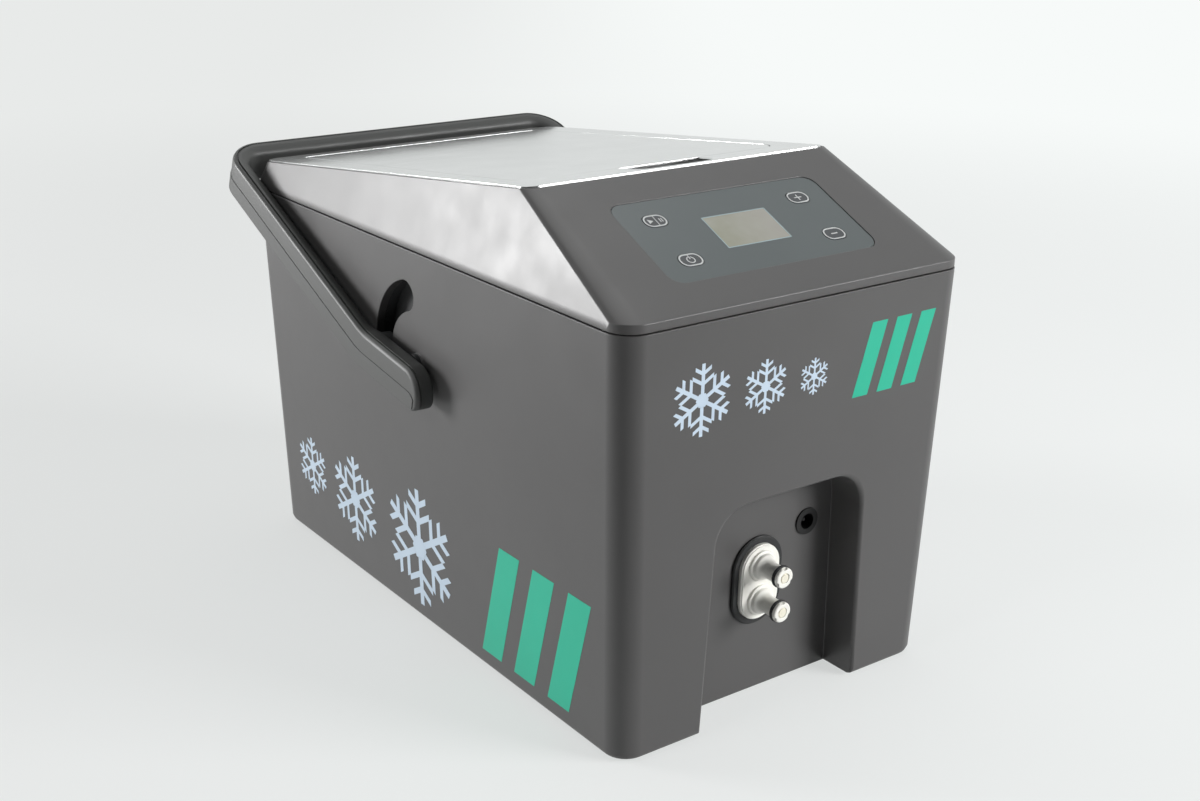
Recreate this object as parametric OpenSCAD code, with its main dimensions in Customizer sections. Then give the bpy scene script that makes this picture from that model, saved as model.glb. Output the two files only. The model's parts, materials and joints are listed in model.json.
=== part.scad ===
// Portable cold therapy machine: an insulated ice and water tank under a
// hinged lid, a circulating pump, a pair of quick-connect nozzles in a front
// notch, a sloping key panel and a carrying handle that swings over the rear.
// Millimetres. X runs right seen from the front, Y runs to the rear, Z is up.
// The origin is on the floor at the middle of the whole footprint.

/* [Body] */
// Width of the body at the parting line
body_w = 230; // [220:1:240]
// Length of the body at the parting line, front to back
body_l = 401.4; // [396:0.2:412]
// Height of the parting line above the floor
seam_z = 233.5; // [228:0.5:240]
// Inward lean of the lower walls per mm of height
draft = 0.0257; // [0.015:0.0001:0.035]
// Radius of the upright corners
corner_r = 14; // [11:0.5:18]
// Radius along the bottom edge
foot_r = 4; // [2:0.5:6]
// Thickness of the moulded walls
wall = 3; // [2.6:0.1:3.4]
// Visible gap along the parting line
seam_gap = 0.7; // [0.4:0.1:1]

/* [Upper shell] */
// Height of the upright lip above the parting line
lip_h = 5.3; // [4:0.1:7]
// How far the lip stands back from the lower body
lip_in = 0.2; // [0:0.05:0.4]
// Height of the ridge above the lip
ridge_h = 45.8; // [42:0.1:49]
// Distance of the ridge behind the front face
ridge_y = 97; // [93:0.5:101]
// Downward slope of the top towards the rear, in degrees
top_tilt = 6.57; // [6:0.01:7]
// Inward lean of the upper side walls per mm of height
side_lean = 0.25; // [0.2:0.01:0.3]
// Inward lean of the upper rear wall per mm of height
rear_lean = 0.52; // [0.4:0.01:0.6]
// Corner radius where the panel meets the ridge
ridge_r = 9; // [6:0.5:12]

/* [Lid] */
// Width of the lid
lid_w = 180; // [178:0.5:184]
// Distance of the lid's front edge behind the ridge
lid_front = 25.2; // [24:0.1:27]
// Width of the silver strip behind the lid
strip_l = 16; // [14:0.1:20]
// Front corner radius of the lid
lid_r = 17; // [14:0.5:19]
// Rear corner radius of the lid
lid_rear_r = 8; // [8:0.5:10]
// Gap round the lid
lid_gap = 0.5; // [0.4:0.05:0.7]
// Height that the silver plate and lid stand above the shell
plate_proud = 0.8; // [0.5:0.1:1.2]
// Thickness of the silver plate round the lid
plate_t = 3; // [2.5:0.1:3.4]
// Thickness of the lid at its rim
rim_t = 4; // [3.6:0.1:4.4]
// Depth of the lid's insulated plug below its rim
plug_h = 18; // [14:0.5:22]
// Thickness of the lid's gasket
seal_t = 1.9; // [1.6:0.1:2]
// Distance of the hinge axis in front of the lid's rear edge
axis_in = 12; // [11:0.1:13]
// Depth of the hinge axis below the lid's top
axis_drop = 5; // [4.8:0.1:5.2]
// Diameter of the lid's hinge pins
lid_pin_d = 4; // [3:0.1:5]

/* [Finger recess] */
// Width of the finger recess
scoop_w = 58; // [50:1:66]
// Depth of the finger recess
scoop_h = 11; // [9:0.5:13]
// Distance of its front edge behind the ridge
scoop_y = 5.5; // [5:0.1:8]

/* [Tank] */
// Wall thickness of the tank
tank_t = 3; // [2.5:0.1:3.4]
// Height of the tank's underside above the floor
tank_z = 46; // [43:0.5:48]
// Width of the lid opening over the tank
mouth_w = 168; // [166:0.5:169]
// Distance of the opening's rear edge in front of the hinge axis
hinge_room = 27.9; // [27:0.1:34]
// Thickness of the foam beside the tank
foam_t = 15; // [12:0.5:16]

/* [Key panel] */
// Width of the overlay
overlay_w = 138; // [132:0.5:144]
// Distance of the overlay's lower edge from the lip, up the slope
overlay_y = 22; // [19:0.5:24]
// Length of the overlay up the slope
overlay_l = 63.5; // [62:0.5:66]
// Corner radius of the overlay
overlay_r = 8; // [5:0.5:10]
// Thickness of the overlay
overlay_t = 1.2; // [0.8:0.1:1.3]
// How far the overlay lies below the panel
overlay_in = 0.5; // [0.3:0.1:0.7]
// Width of the display window
window_w = 42.3; // [40:0.1:46]
// Length of the display window up the slope
window_l = 25; // [23:0.1:27]
// Distance of a key's middle from the overlay's end
key_in = 20.5; // [18:0.5:24]
// Distance of the upper keys above the overlay's lower edge
key_upper = 47.5; // [45:0.1:50]
// Distance of the lower keys above the overlay's lower edge
key_lower = 15.2; // [13:0.1:17]
// Width of a key
key_w = 14.1; // [12:0.1:15]
// Length of a key up the slope
key_l = 9.6; // [8:0.1:11]
// Corner radius of a key
key_r = 4.6; // [3:0.1:4.7]
// Travel of a key
key_travel = 0.5; // [0.3:0.05:0.6]
// Depth of the control board below the panel
board_in = 11; // [10:0.5:13]

/* [Front notch] */
// Depth of the notch
notch_d = 23.2; // [21:0.1:25]
// Half width of the notch at the floor
notch_hw = 55.6; // [53:0.1:58]
// Inward lean of the notch sides per mm of height
notch_lean = 0.0405; // [0.03:0.0005:0.05]
// Height of the notch
notch_h = 129.5; // [126:0.5:133]
// Radius of its upper corners
notch_r = 21; // [17:0.5:25]
// Radius of its front edge
notch_edge = 2.3; // [1:0.1:3]

/* [Coupling] */
// Height of the coupling's middle above the floor
coupling_z = 69.5; // [67:0.1:72]
// Sideways place of the coupling
coupling_x = -2; // [-4:0.5:0]
// Distance between the two nozzles
nozzle_pitch = 20.6; // [20:0.1:21]
// Width of the white plate
plate_w = 27; // [25:0.1:28]
// Length of the white plate
plate_l = 44.6; // [43:0.1:46]
// Height of the white plate above the wall
plate_h = 4.5; // [3.8:0.1:5]
// Width of the gasket round the plate
gasket_w = 4; // [3:0.1:5]
// Thickness of the gasket
gasket_t = 1.9; // [1.5:0.1:2.5]
// Diameter of the nozzle barrel
barrel_d = 10; // [9.4:0.1:10.6]
// Diameter of the nozzle tip
tip_d = 11.6; // [11:0.1:12.4]
// Diameter of the bore that holds a valve poppet
poppet_d = 5.8; // [5:0.1:6.2]
// Travel of a valve poppet
poppet_travel = 3; // [2:0.1:4]
// Length of a valve poppet
poppet_l = 7; // [6:0.5:8]
// Diameter of the power inlet's opening
jack_d = 12.6; // [11:0.1:14]
// Sideways place of the power inlet
jack_x = 33.1; // [30:0.1:35]
// Height of the power inlet
jack_z = 95.6; // [93:0.1:98]

/* [Handle] */
// Distance of the handle's pivots behind the front face
pivot_y = 194; // [191:0.5:197]
// Height of the handle's pivots
pivot_z = 168; // [165:0.5:171]
// Slope of the handle at rest, in degrees
handle_tilt = 23.37; // [22.9:0.01:23.9]
// Swing of the handle, in degrees
handle_swing = 74; // [70:0.5:76]
// Half width between the arms
arm_in = 117; // [116.8:0.1:121]
// Thickness of the arms
bar_t = 11.5; // [10:0.1:13]
// Height of the arms
bar_h = 23.2; // [22:0.1:24]
// Height of the raised lower band on the arms
band_h = 10.6; // [8:0.1:12]
// Distance of the arms' top face below the line through the pivots
arm_drop = 5.3; // [5:0.1:5.8]
// Distance of the crossbar's front face from the pivots
reach = 230.1; // [228:0.5:233]
// Inner radius of the handle's corners
bend_r = 12.5; // [9:0.5:16]
// Slope of the pads at the pivots, in degrees
pad_tilt = 8.7; // [7:0.1:11]
// Height of the pads' top edge above the pivots
pad_top = 5.8; // [5.6:0.1:7]
// Length of the pads in front of the pivots
pad_l = 24.5; // [22:0.1:27]
// Radius of the pads' upper front corner
pad_r = 15; // [12:0.1:16]
// Diameter of the pivot pins
pivot_d = 8; // [6:0.1:8.4]
// Radius of the curved slot's middle line
slot_r = 39.5; // [38:0.1:41]
// Width of the curved slot
slot_w = 18; // [16:0.1:19]
// Depth of the track behind the slot
track_d = 8; // [7.5:0.1:9]

/* [Pump] */
// Diameter of the pump motor
motor_d = 34; // [30:0.5:36]
// Length of the pump motor
motor_l = 48; // [40:0.5:54]
// Outer diameter of the pump housing
volute_d = 44; // [42:0.5:44.5]
// Width of the pump housing
volute_l = 24; // [22:0.5:26]
// Diameter of the impeller
impeller_d = 33; // [28:0.5:34]
// Distance of the pump's axis behind the front face
pump_y = 86; // [85:0.5:87]
// Outer diameter of the hoses
hose_d = 15; // [13.5:0.1:15.5]
// Bore of the hoses
hose_bore = 10; // [9:0.1:11]

/* [Fits] */
// Running clearance of pins in bores, on the radius
run_fit = 0.05; // [0.02:0.01:0.08]
// Clearance between neighbouring parts
part_gap = 0.3; // [0.2:0.05:0.4]
// Height of the rubber feet below the shell
foot_out = 1; // [0.6:0.1:2]

/* [Hidden] */
$fn = 64;

BODY_GREY = [0.36, 0.37, 0.38];
DARK_GREY = [0.27, 0.28, 0.29];
SILVER = [0.88, 0.89, 0.88];
WHITE = [0.94, 0.94, 0.93];
RUBBER = [0.15, 0.15, 0.16];
STEEL = [0.7, 0.71, 0.72];

// Overall length: from the front face to the rear lower corner of the handle.
bar_out = reach + bar_t;
overall_l = pivot_y + bar_out * cos(handle_tilt) + (arm_drop + bar_h - 1) * sin(handle_tilt);
lip_z = seam_z + lip_h;
ridge_z = lip_z + ridge_h;
panel_tilt = atan(ridge_h / ridge_y);
draft_tilt = atan(draft);
corner_steps = 8;

// ---- Frames ----------------------------------------------------------------
// from_front: y is measured from the front face at the parting line.
module from_front() {
    translate([0, -overall_l / 2, 0]) children();
}

// on_panel: y runs up the sloping panel from the lip, z points out of it.
module on_panel() {
    from_front() translate([0, 0, lip_z]) rotate([panel_tilt, 0, 0]) children();
}

// on_top: y runs back from the ridge along the top, z points out of it.
module on_top() {
    from_front() translate([0, ridge_y, ridge_z]) rotate([-top_tilt, 0, 0]) children();
}

// on_notch: y runs up the notch's back wall from a height, z points out of it.
module on_notch(z) {
    from_front() translate([0, notch_d + draft * (seam_z - z), z])
        rotate([90 + draft_tilt, 0, 0]) children();
}

// at_pivot: the origin is the middle of the handle's pivots.
module at_pivot() {
    from_front() translate([0, pivot_y, pivot_z]) children();
}

module both_sides() {
    children();
    mirror([1, 0, 0]) children();
}

// along_x: turns a shape drawn up z so that it runs along x.
module along_x() {
    rotate([0, 90, 0]) children();
}

// ---- Outlines and lofts ------------------------------------------------------
function quarter(cx, cy, r, from) =
    [for (i = [0:corner_steps])
        [cx + r * cos(from + 90 * i / corner_steps), cy + r * sin(from + 90 * i / corner_steps)]];

// A rectangle with one radius in front and another at the rear.
function round_rect(hw, y0, y1, rf, rb) = concat(
    quarter(hw - rb, y1 - rb, rb, 0), quarter(rb - hw, y1 - rb, rb, 90),
    quarter(rf - hw, y0 + rf, rf, 180), quarter(hw - rf, y0 + rf, rf, 270));

function lift(outline, z) = [for (p = outline) [p[0], p[1], z]];

// Skin over rings that have as many points each, from the lowest to the highest.
module loft(rings) {
    n = len(rings[0]);
    last = (len(rings) - 1) * n;
    sides = [for (k = [0:len(rings) - 2], i = [0:n - 1])
        let (a = k * n + i, b = k * n + (i + 1) % n)
        each [[a, a + n, b + n], [a, b + n, b]]];
    polyhedron(points = [for (ring = rings) each ring],
        faces = concat([[for (i = [0:n - 1]) i]], sides,
            [[for (i = [n - 1:-1:0]) last + i]]));
}

// A plate with one corner radius in front and another at the rear.
module hinged_plate(hw, y0, y1, rf, rb, z0, z1) {
    translate([0, 0, z0]) linear_extrude(z1 - z0) {
        translate([rf - hw, y0]) square([2 * (hw - rf), y1 - y0 - rb]);
        translate([rb - hw, y0 + rf]) square([2 * (hw - rb), y1 - y0 - rf]);
        translate([-hw, y0 + rf]) square([2 * hw, y1 - y0 - rf - rb]);
        for (x = [-1, 1]) {
            translate([x * (hw - rf), y0 + rf]) circle(rf);
            translate([x * (hw - rb), y1 - rb]) circle(rb);
        }
    }
}

module rounded_plate(hw, y0, y1, r, z0, z1) {
    translate([0, 0, z0]) linear_extrude(z1 - z0) {
        translate([r - hw, y0]) square([2 * (hw - r), y1 - y0]);
        translate([-hw, y0 + r]) square([2 * hw, y1 - y0 - 2 * r]);
        for (x = [-1, 1], y = [y0 + r, y1 - r]) translate([x * (hw - r), y]) circle(r);
    }
}

module rounded_ring(hw, y0, y1, r, width, z0, z1) {
    difference() {
        rounded_plate(hw, y0, y1, r, z0, z1);
        rounded_plate(hw - width, y0 + width, y1 - width, max(r - width, 1), z0 - 1, z1 + 1);
    }
}

// A stadium standing on its long axis, middle at the origin.
module stadium(w, l, z0, z1) {
    translate([0, 0, z0]) linear_extrude(z1 - z0) {
        square([w, l - w], center = true);
        for (y = [-1, 1]) translate([0, y * (l - w) / 2]) circle(w / 2);
    }
}

module tube(outer, bore, l) {
    difference() {
        cylinder(d = outer, h = l);
        translate([0, 0, -1]) cylinder(d = bore, h = l + 2);
    }
}

// ---- Lower body --------------------------------------------------------------
function body_outline(z, inset) =
    let (in = draft * (seam_z - z) + inset, r = max(corner_r - inset, 2))
    lift(round_rect(body_w / 2 - in, in, body_l - in, r, r), z);

tower_in = 17.5;
tower_d = 16;
tower_x = body_w / 2 - tower_in;
screw_d = 4;
head_d = 8;
head_h = 3;
head_z = seam_z - 13;

module at_towers() {
    for (x = [-tower_x, tower_x], y = [tower_in, body_l - tower_in])
        from_front() translate([x, y, 0]) children();
}

foot_d = 20;
foot_in = 42;
foot_t = 2.2;

module at_feet() {
    for (x = [-1, 1], y = [foot_in, body_l - foot_in])
        from_front() translate([x * (body_w / 2 - foot_in + 11), y, 0]) children();
}

// Outline of the notch seen from the front, at a depth, grown on every side.
function notch_outline(depth, grow) =
    let (foot_z = -6, hw = notch_hw + grow, shoulder = notch_h + grow - notch_r,
        top_hw = hw - notch_lean * shoulder)
    [for (p = concat([[hw, foot_z]], quarter(top_hw - notch_r, shoulder, notch_r, 0),
            quarter(notch_r - top_hw, shoulder, notch_r, 90), [[-hw, foot_z]]))
        [p[0], depth + draft * (seam_z - p[1]), p[1]]];

module notch_space(grow) {
    edge = notch_edge;
    from_front() loft([
        notch_outline(notch_d + grow, grow),
        notch_outline(edge, grow),
        notch_outline(edge * 0.5, grow + edge * 0.13),
        notch_outline(edge * 0.13, grow + edge * 0.5),
        notch_outline(0, grow + edge),
        notch_outline(-8, grow + edge)]);
}

function arc(cx, cy, r, from, to, steps) =
    [for (i = [0:steps])
        let (a = from + (to - from) * i / steps) [cx + r * cos(a), cy + r * sin(a)]];

// The curved slot for a guide pin, drawn about the pivot: its lower end is
// level with the pivot and both ends are round.
function slot_outline(width) =
    let (s = handle_swing, ex = slot_r * cos(s), ey = slot_r * sin(s))
    concat(
        arc(0, 0, slot_r + width / 2, 0, s, 20),
        arc(ex, ey, width / 2, s + 15, s + 165, 10),
        arc(0, 0, slot_r - width / 2, s, 0, 20),
        arc(slot_r, 0, width / 2, 195, 345, 10));

// Lays the slot's drawing on the right wall, between two distances from the middle.
module slot_on_wall(width, x0, x1) {
    at_pivot() translate([x0, 0, 0]) rotate([90, 0, 90])
        linear_extrude(x1 - x0) polygon(slot_outline(width));
}

pivot_wall = body_w / 2 - draft * (seam_z - pivot_z);
pivot_seat = pivot_wall + 1.2;
bush_d = pivot_d + 2.4;
boss_d = bush_d + 2.6;
track_face = pivot_wall - wall - 2;
guide_d = slot_w - 0.8;
spigot_d = hose_bore - 2 * run_fit;
cradle_x = coupling_x - volute_l / 2 - motor_l / 2;
cradle_w = 32;
cradle_screw_x = 12;
cradle_screw_y = 22;
cradle_l = 54;
boss_z = 14;

module at_cradle_screws() {
    for (x = [-1, 1], y = [-1, 1])
        from_front() translate([cradle_x + x * cradle_screw_x, pump_y + y * cradle_screw_y, 0])
            children();
}

module shell_hollow() {
    floor_z = foot_out + wall;
    difference() {
        from_front() loft([
            body_outline(floor_z, wall + 2),
            body_outline(floor_z + 2, wall),
            body_outline(seam_z + 1, wall)]);
        notch_space(wall);
        at_towers() cylinder(d = tower_d, h = seam_z + 2);
        at_cradle_screws() cylinder(d = 9, h = boss_z);
        both_sides() {
            slot_on_wall(slot_w + 10, track_face, body_w / 2);
            at_pivot() translate([track_face - 4, 0, 0]) along_x() cylinder(d = bush_d + 6, h = 20);
        }
    }
}

// Low wall inside the rim that covers the parting line from within.
module rim_tongue() {
    difference() {
        from_front() loft([
            body_outline(seam_z - 6, wall - 0.1),
            body_outline(seam_z - 0.6, wall - 0.1),
            body_outline(seam_z, wall + 0.6),
            body_outline(seam_z + 3, wall + 0.6)]);
        from_front() loft([
            body_outline(seam_z - 7, wall + 1.8),
            body_outline(seam_z + 4, wall + 1.8)]);
        at_towers() translate([0, 0, seam_z]) cylinder(d = tower_d + 1, h = 5);
    }
}

module main_shell() {
    color(BODY_GREY) difference() {
        union() {
            difference() {
                from_front() loft([
                    body_outline(foot_out, foot_r),
                    body_outline(foot_out + foot_r * 0.3, foot_r * 0.3),
                    body_outline(foot_out + foot_r, 0),
                    body_outline(seam_z, 0)]);
                shell_hollow();
            }
            rim_tongue();
            both_sides() at_pivot() translate([pivot_wall - 1, 0, 0]) along_x()
                cylinder(d = boss_d, h = pivot_seat - pivot_wall + 1);
        }
        notch_space(0);
        on_notch(coupling_z) translate([coupling_x, 0, 0])
            stadium(plate_w + part_gap, plate_l + part_gap, -wall - 2, 1);
        on_notch(coupling_z) at_coupling_screws()
            translate([0, 0, -wall - 1]) cylinder(d = 3 + 2 * run_fit, h = wall + 0.4);
        on_notch(jack_z) translate([jack_x, 0, -wall - 2]) cylinder(d = jack_d, h = wall + 4);
        at_towers() {
            translate([0, 0, -1]) cylinder(d = head_d + 2, h = head_z + head_h + 1);
            cylinder(d = screw_d + 0.4, h = seam_z + 1);
        }
        on_top() rounded_plate(lid_hw + well_side + part_gap, well_y - 3 - part_gap,
            lid_rear + rear_band + part_gap, 6, well_z - wall - part_gap, deck_z);
        at_feet() cylinder(d = foot_d + 2 * part_gap, h = foot_t);
        at_cradle_screws() translate([0, 0, boss_z - 8]) cylinder(d = 3 + 2 * run_fit, h = 10);
        both_sides() {
            slot_on_wall(slot_w, track_face - 1, body_w / 2 + 2);
            at_pivot() translate([track_face - 6, 0, 0]) along_x() cylinder(d = bush_d, h = 30);
        }
    }
}

module rubber_feet() {
    color(RUBBER) at_feet() difference() {
        cylinder(d = foot_d, h = foot_t);
        translate([0, 0, -1]) cylinder(d = foot_d - 12, h = 1.8);
    }
}

module closing_screws() {
    color(STEEL) at_towers() difference() {
        union() {
            translate([0, 0, head_z]) cylinder(d = head_d, h = head_h);
            translate([0, 0, head_z]) cylinder(d = screw_d, h = 22);
        }
        translate([0, 0, head_z - 1]) cylinder(d = 3, h = 2.8, $fn = 6);
    }
}

// ---- Upper shell ---------------------------------------------------------------
function upper_outline(z, inset, front_in) =
    let (up = max(z - lip_z, 0),
        rf = corner_r - (corner_r - ridge_r) * up / ridge_h,
        hw = body_w / 2 - lip_in - side_lean * up - inset)
    lift(round_rect(hw, up / tan(panel_tilt) + lip_in + front_in,
        body_l - lip_in - rear_lean * up - inset,
        max(rf - inset, 1.5), max(corner_r - inset, 1.5)), z);

peak_z = ridge_z + 8;

// Everything below a level of the top plane.
module below_top(level) {
    on_top() translate([-body_w, -body_l, level - body_l])
        cube([2 * body_w, 3 * body_l, body_l]);
}

module upper_form(inset, level) {
    intersection() {
        from_front() loft([
            upper_outline(seam_z + seam_gap, inset, inset),
            upper_outline(lip_z, inset, inset),
            upper_outline(peak_z, inset, inset)]);
        below_top(level);
    }
}

// The room inside the shell: its front face lies one wall below the panel.
module upper_hollow(level) {
    shoulder_z = lip_z - wall / 2;
    shoulder_in = wall / sin(panel_tilt) - wall / 2 / tan(panel_tilt);
    intersection() {
        from_front() loft([
            lift(round_rect(body_w / 2 - lip_in - wall, shoulder_in,
                body_l - lip_in - wall, corner_r - wall, corner_r - wall), seam_z - 2),
            lift(round_rect(body_w / 2 - lip_in - wall, shoulder_in,
                body_l - lip_in - wall, corner_r - wall, corner_r - wall), shoulder_z),
            upper_outline(peak_z, wall, wall / sin(panel_tilt))]);
        below_top(level);
    }
}

// The top's rear edge, where the leaning rear wall meets the sloping top.
top_rear_y = (body_l - lip_in - rear_lean * (ridge_h + ridge_y * tan(top_tilt)))
    / (1 - rear_lean * tan(top_tilt));
top_l = (top_rear_y - ridge_y) / cos(top_tilt);
top_front_hw = body_w / 2 - lip_in - side_lean * ridge_h;
top_rear_hw = top_front_hw + side_lean * (top_rear_y - ridge_y) * tan(top_tilt);
plate_in = 1;
plate_fit = 0.25;

// Outline of the silver plate: a slight taper with rounded corners.
function plate_outline(inset) =
    let (rf = ridge_r - inset, rb = corner_r - inset)
    concat(
        quarter(top_rear_hw - corner_r, top_l - corner_r, rb, 0),
        quarter(corner_r - top_rear_hw, top_l - corner_r, rb, 90),
        quarter(ridge_r - top_front_hw, ridge_r, rf, 180),
        quarter(top_front_hw - ridge_r, ridge_r, rf, 270));

// Levels along the top, measured from the shell's top plane.
deck_z = plate_proud - plate_t;
lid_under = plate_proud - rim_t;
ledge_z = lid_under - seal_t - 0.1;
ring_z = ledge_z - wall;
lid_rear = top_l - plate_in - plate_fit - strip_l;
mouth_y = lid_front + 12.8;
mouth_r = 12;
hole_rear_r = 3;
axis_y = lid_rear - axis_in;
mouth_rear = axis_y - hinge_room;
axis_z = plate_proud - axis_drop;
well_y = mouth_rear + 9;
well_z = axis_z - axis_in - 3;
well_side = 7;
rear_band = 3.5;
lid_hw = lid_w / 2;

module scoop(grow) {
    on_top() loft([
        lift(round_rect(scoop_w / 2 - 9 + grow, scoop_y + 13 - grow, lid_front + 7 + grow,
            4 + grow, 4 + grow), -scoop_h - grow),
        lift(round_rect(scoop_w / 2 - 4 + grow, scoop_y + 6 - grow, lid_front + 8 + grow,
            8 + grow, 5 + grow), -scoop_h / 2 - grow / 2),
        lift(round_rect(scoop_w / 2 + grow, scoop_y - grow, lid_front + 8.5 + grow,
            10 + grow, 5 + grow), plate_proud + 2)]);
}

module at_board_screws() {
    for (x = [-1, 1], y = [7, overlay_l - 3])
        on_panel() translate([x * (overlay_w / 2 - 9), overlay_y + y, 0]) children();
}

key_x = overlay_w / 2 - key_in;

function key_places() = [
    [-key_x, key_upper], [-key_x, key_lower], [key_x, key_upper], [key_x, key_lower]];

module at_key(i) {
    on_panel() translate([key_places()[i][0], overlay_y + key_places()[i][1], 0]) children();
}

module key_pad(grow, z0, z1) {
    rounded_plate(key_w / 2 + grow, -key_l / 2 - grow, key_l / 2 + grow,
        min(key_r, key_l / 2 - 0.2) + grow, z0, z1);
}

window_y = overlay_y + 31.3;
pocket_z = -overlay_in - overlay_t;

module upper_shell() {
    color(BODY_GREY) difference() {
        union() {
            difference() {
                upper_form(0, 0);
                upper_hollow(deck_z - wall);
                from_front() loft([
                    upper_outline(seam_z - 1, wall, wall),
                    upper_outline(lip_z - 1.2, wall, wall)]);
            }
            on_top() rounded_plate(lid_hw + 4, lid_front - 3, lid_rear + rear_band, lid_r + 3,
                ring_z, deck_z);
            on_top() rounded_plate(lid_hw + well_side, well_y - 3, lid_rear + rear_band, 6,
                well_z - wall, deck_z);
            intersection() {
                upper_form(1, -1);
                at_towers() translate([0, 0, seam_z]) cylinder(d = tower_d, h = 60);
            }
            at_board_screws() translate([0, 0, -board_in]) cylinder(d = 7, h = board_in - 1);
        }
        on_top() {
            translate([0, 0, deck_z]) linear_extrude(5) polygon(plate_outline(plate_in));
            hinged_plate(lid_hw + 0.4, lid_front - 0.4, lid_rear + 0.4, lid_r, hole_rear_r,
                ledge_z, 10);
            rounded_plate(mouth_w / 2, mouth_y, mouth_rear, mouth_r, ring_z - 30, 10);
            rounded_plate(lid_hw + 0.4, well_y, lid_rear + 0.4, 4, well_z, 10);
            translate([-lid_hw - well_side, axis_y, axis_z]) along_x()
                cylinder(d = lid_pin_d, h = 2 * (lid_hw + well_side));
        }
        scoop(1.6 + part_gap);
        on_panel() {
            rounded_plate(overlay_w / 2 + 0.2, overlay_y - 0.2, overlay_y + overlay_l + 0.2,
                overlay_r, pocket_z, 5);
            rounded_plate(window_w / 2 - 1, window_y - window_l / 2 + 1,
                window_y + window_l / 2 - 1, 1.2, -8, 5);
        }
        for (i = [0:3]) at_key(i) key_pad(0.5, -8, 5);
        at_board_screws() translate([0, 0, -board_in - 1]) cylinder(d = 2.6, h = 8);
        at_towers() translate([0, 0, seam_z - 1]) cylinder(d = screw_d + 2 * run_fit, h = 11);
    }
}

module lid_frame() {
    color(SILVER) difference() {
        union() {
            on_top() translate([0, 0, deck_z]) linear_extrude(plate_t)
                polygon(plate_outline(plate_in + plate_fit));
            difference() {
                scoop(1.6);
                on_top() translate([-body_w, -body_w, deck_z + 1]) cube(2 * body_w);
            }
        }
        on_top() {
            hinged_plate(lid_hw, lid_front, lid_rear, lid_r, hole_rear_r, deck_z, 10);
            rounded_plate(lid_hw + 0.4, lid_front - 0.4, lid_rear, lid_r, ledge_z + 0.1, deck_z);
        }
        scoop(0);
    }
}

// ---- Lid --------------------------------------------------------------------------
rim_w = 9;
edge_cut = 1.5;
ear_w = 10;
skin_t = 2.5;
liner_in = 6;

module lid() {
    hw = lid_hw - lid_gap;
    color(SILVER) on_top() difference() {
        union() {
            hinged_plate(hw, lid_front + lid_gap, lid_rear - lid_gap, lid_r - lid_gap,
                lid_rear_r, lid_under, plate_proud);
            both_sides() translate([hw - ear_w, axis_y, axis_z]) along_x()
                cylinder(r = axis_drop - 0.2, h = ear_w);
        }
        rounded_plate(hw - rim_w, lid_front + rim_w, axis_y - 8, lid_r - rim_w,
            lid_under - 1, plate_proud - skin_t);
        // Rear top edge, cut back so that it clears the silver plate as the lid turns.
        translate([-body_w / 2, lid_rear - lid_gap - edge_cut, plate_proud]) rotate([-45, 0, 0])
            cube([body_w, 3 * edge_cut, 3 * edge_cut]);
        translate([-hw - 1, axis_y, axis_z]) along_x()
            cylinder(d = lid_pin_d + 2 * run_fit, h = 2 * hw + 2);
    }
}

module lid_liner() {
    hw = lid_hw - lid_gap;
    color(WHITE) on_top() {
        rounded_plate(hw - rim_w, lid_front + rim_w, axis_y - 8, lid_r - rim_w,
            lid_under, plate_proud - skin_t);
        rounded_plate(mouth_w / 2 - liner_in, mouth_y + liner_in,
            mouth_rear - liner_in, mouth_r, lid_under - plug_h, lid_under);
    }
}

module lid_gasket() {
    color(RUBBER) on_top()
        rounded_ring(mouth_w / 2 + 4.5, mouth_y - 4.5, mouth_rear + 4.5, mouth_r + 3,
            4, lid_under - seal_t, lid_under);
}

module hinge_pins() {
    color(STEEL) both_sides() on_top()
        translate([lid_hw - ear_w + 1, axis_y, axis_z]) along_x()
            cylinder(d = lid_pin_d, h = ear_w + well_side - 1.5);
}

// ---- Tank ---------------------------------------------------------------------------
tank_draft = 0.02;
tank_foot = 4;
tank_r = 8;
tank_hw = mouth_w / 2 - 1.5;
tank_y0 = ridge_y + mouth_y - 2.5;
tank_y1 = ridge_y + mouth_rear - 3;
spigot_z = tank_z + 17;
spigot_x = 55;
return_x = 60;
return_z = 200;
foam_y0 = tank_y0 - foam_t - 3.8;
foam_y1 = tank_y1 + foam_t + 10;

function tank_outline(z, inset) =
    let (in = tank_draft * (lip_z - z) + inset, r = max(tank_r - inset, 2))
    lift(round_rect(tank_hw - in, tank_y0 + in, tank_y1 - in, r, r), z);

module tank_form(inset, z0) {
    from_front() loft([tank_outline(z0, inset + tank_foot), tank_outline(z0 + tank_foot, inset),
        tank_outline(peak_z, inset)]);
}

module at_spigots() {
    for (p = [[spigot_x, spigot_z], [return_x, return_z]])
        from_front() translate([p[0], 0, p[1]]) rotate([-90, 0, 0]) children();
}

module reservoir_tank() {
    color(WHITE) difference() {
        union() {
            intersection() {
                tank_form(0, tank_z);
                below_top(ring_z);
            }
            on_top() rounded_plate(mouth_w / 2 + 3, mouth_y - 3.5, mouth_rear + 3,
                mouth_r + 3, ring_z - 2.5, ring_z);
            at_spigots() translate([0, 0, foam_y0 - 11])
                cylinder(d = spigot_d, h = tank_y0 + tank_t - foam_y0 + 13);
        }
        tank_form(tank_t, tank_z + tank_t);
        at_spigots() translate([0, 0, foam_y0 - 15])
            cylinder(d = spigot_d - 4, h = tank_y0 - foam_y0 + 30);
    }
}

// One board of the jacket, between two places across and along the body.
module foam_board(x0, x1, y0, y1, z0, z1) {
    from_front() translate([x0, y0, z0]) cube([x1 - x0, y1 - y0, z1 - z0]);
}

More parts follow.
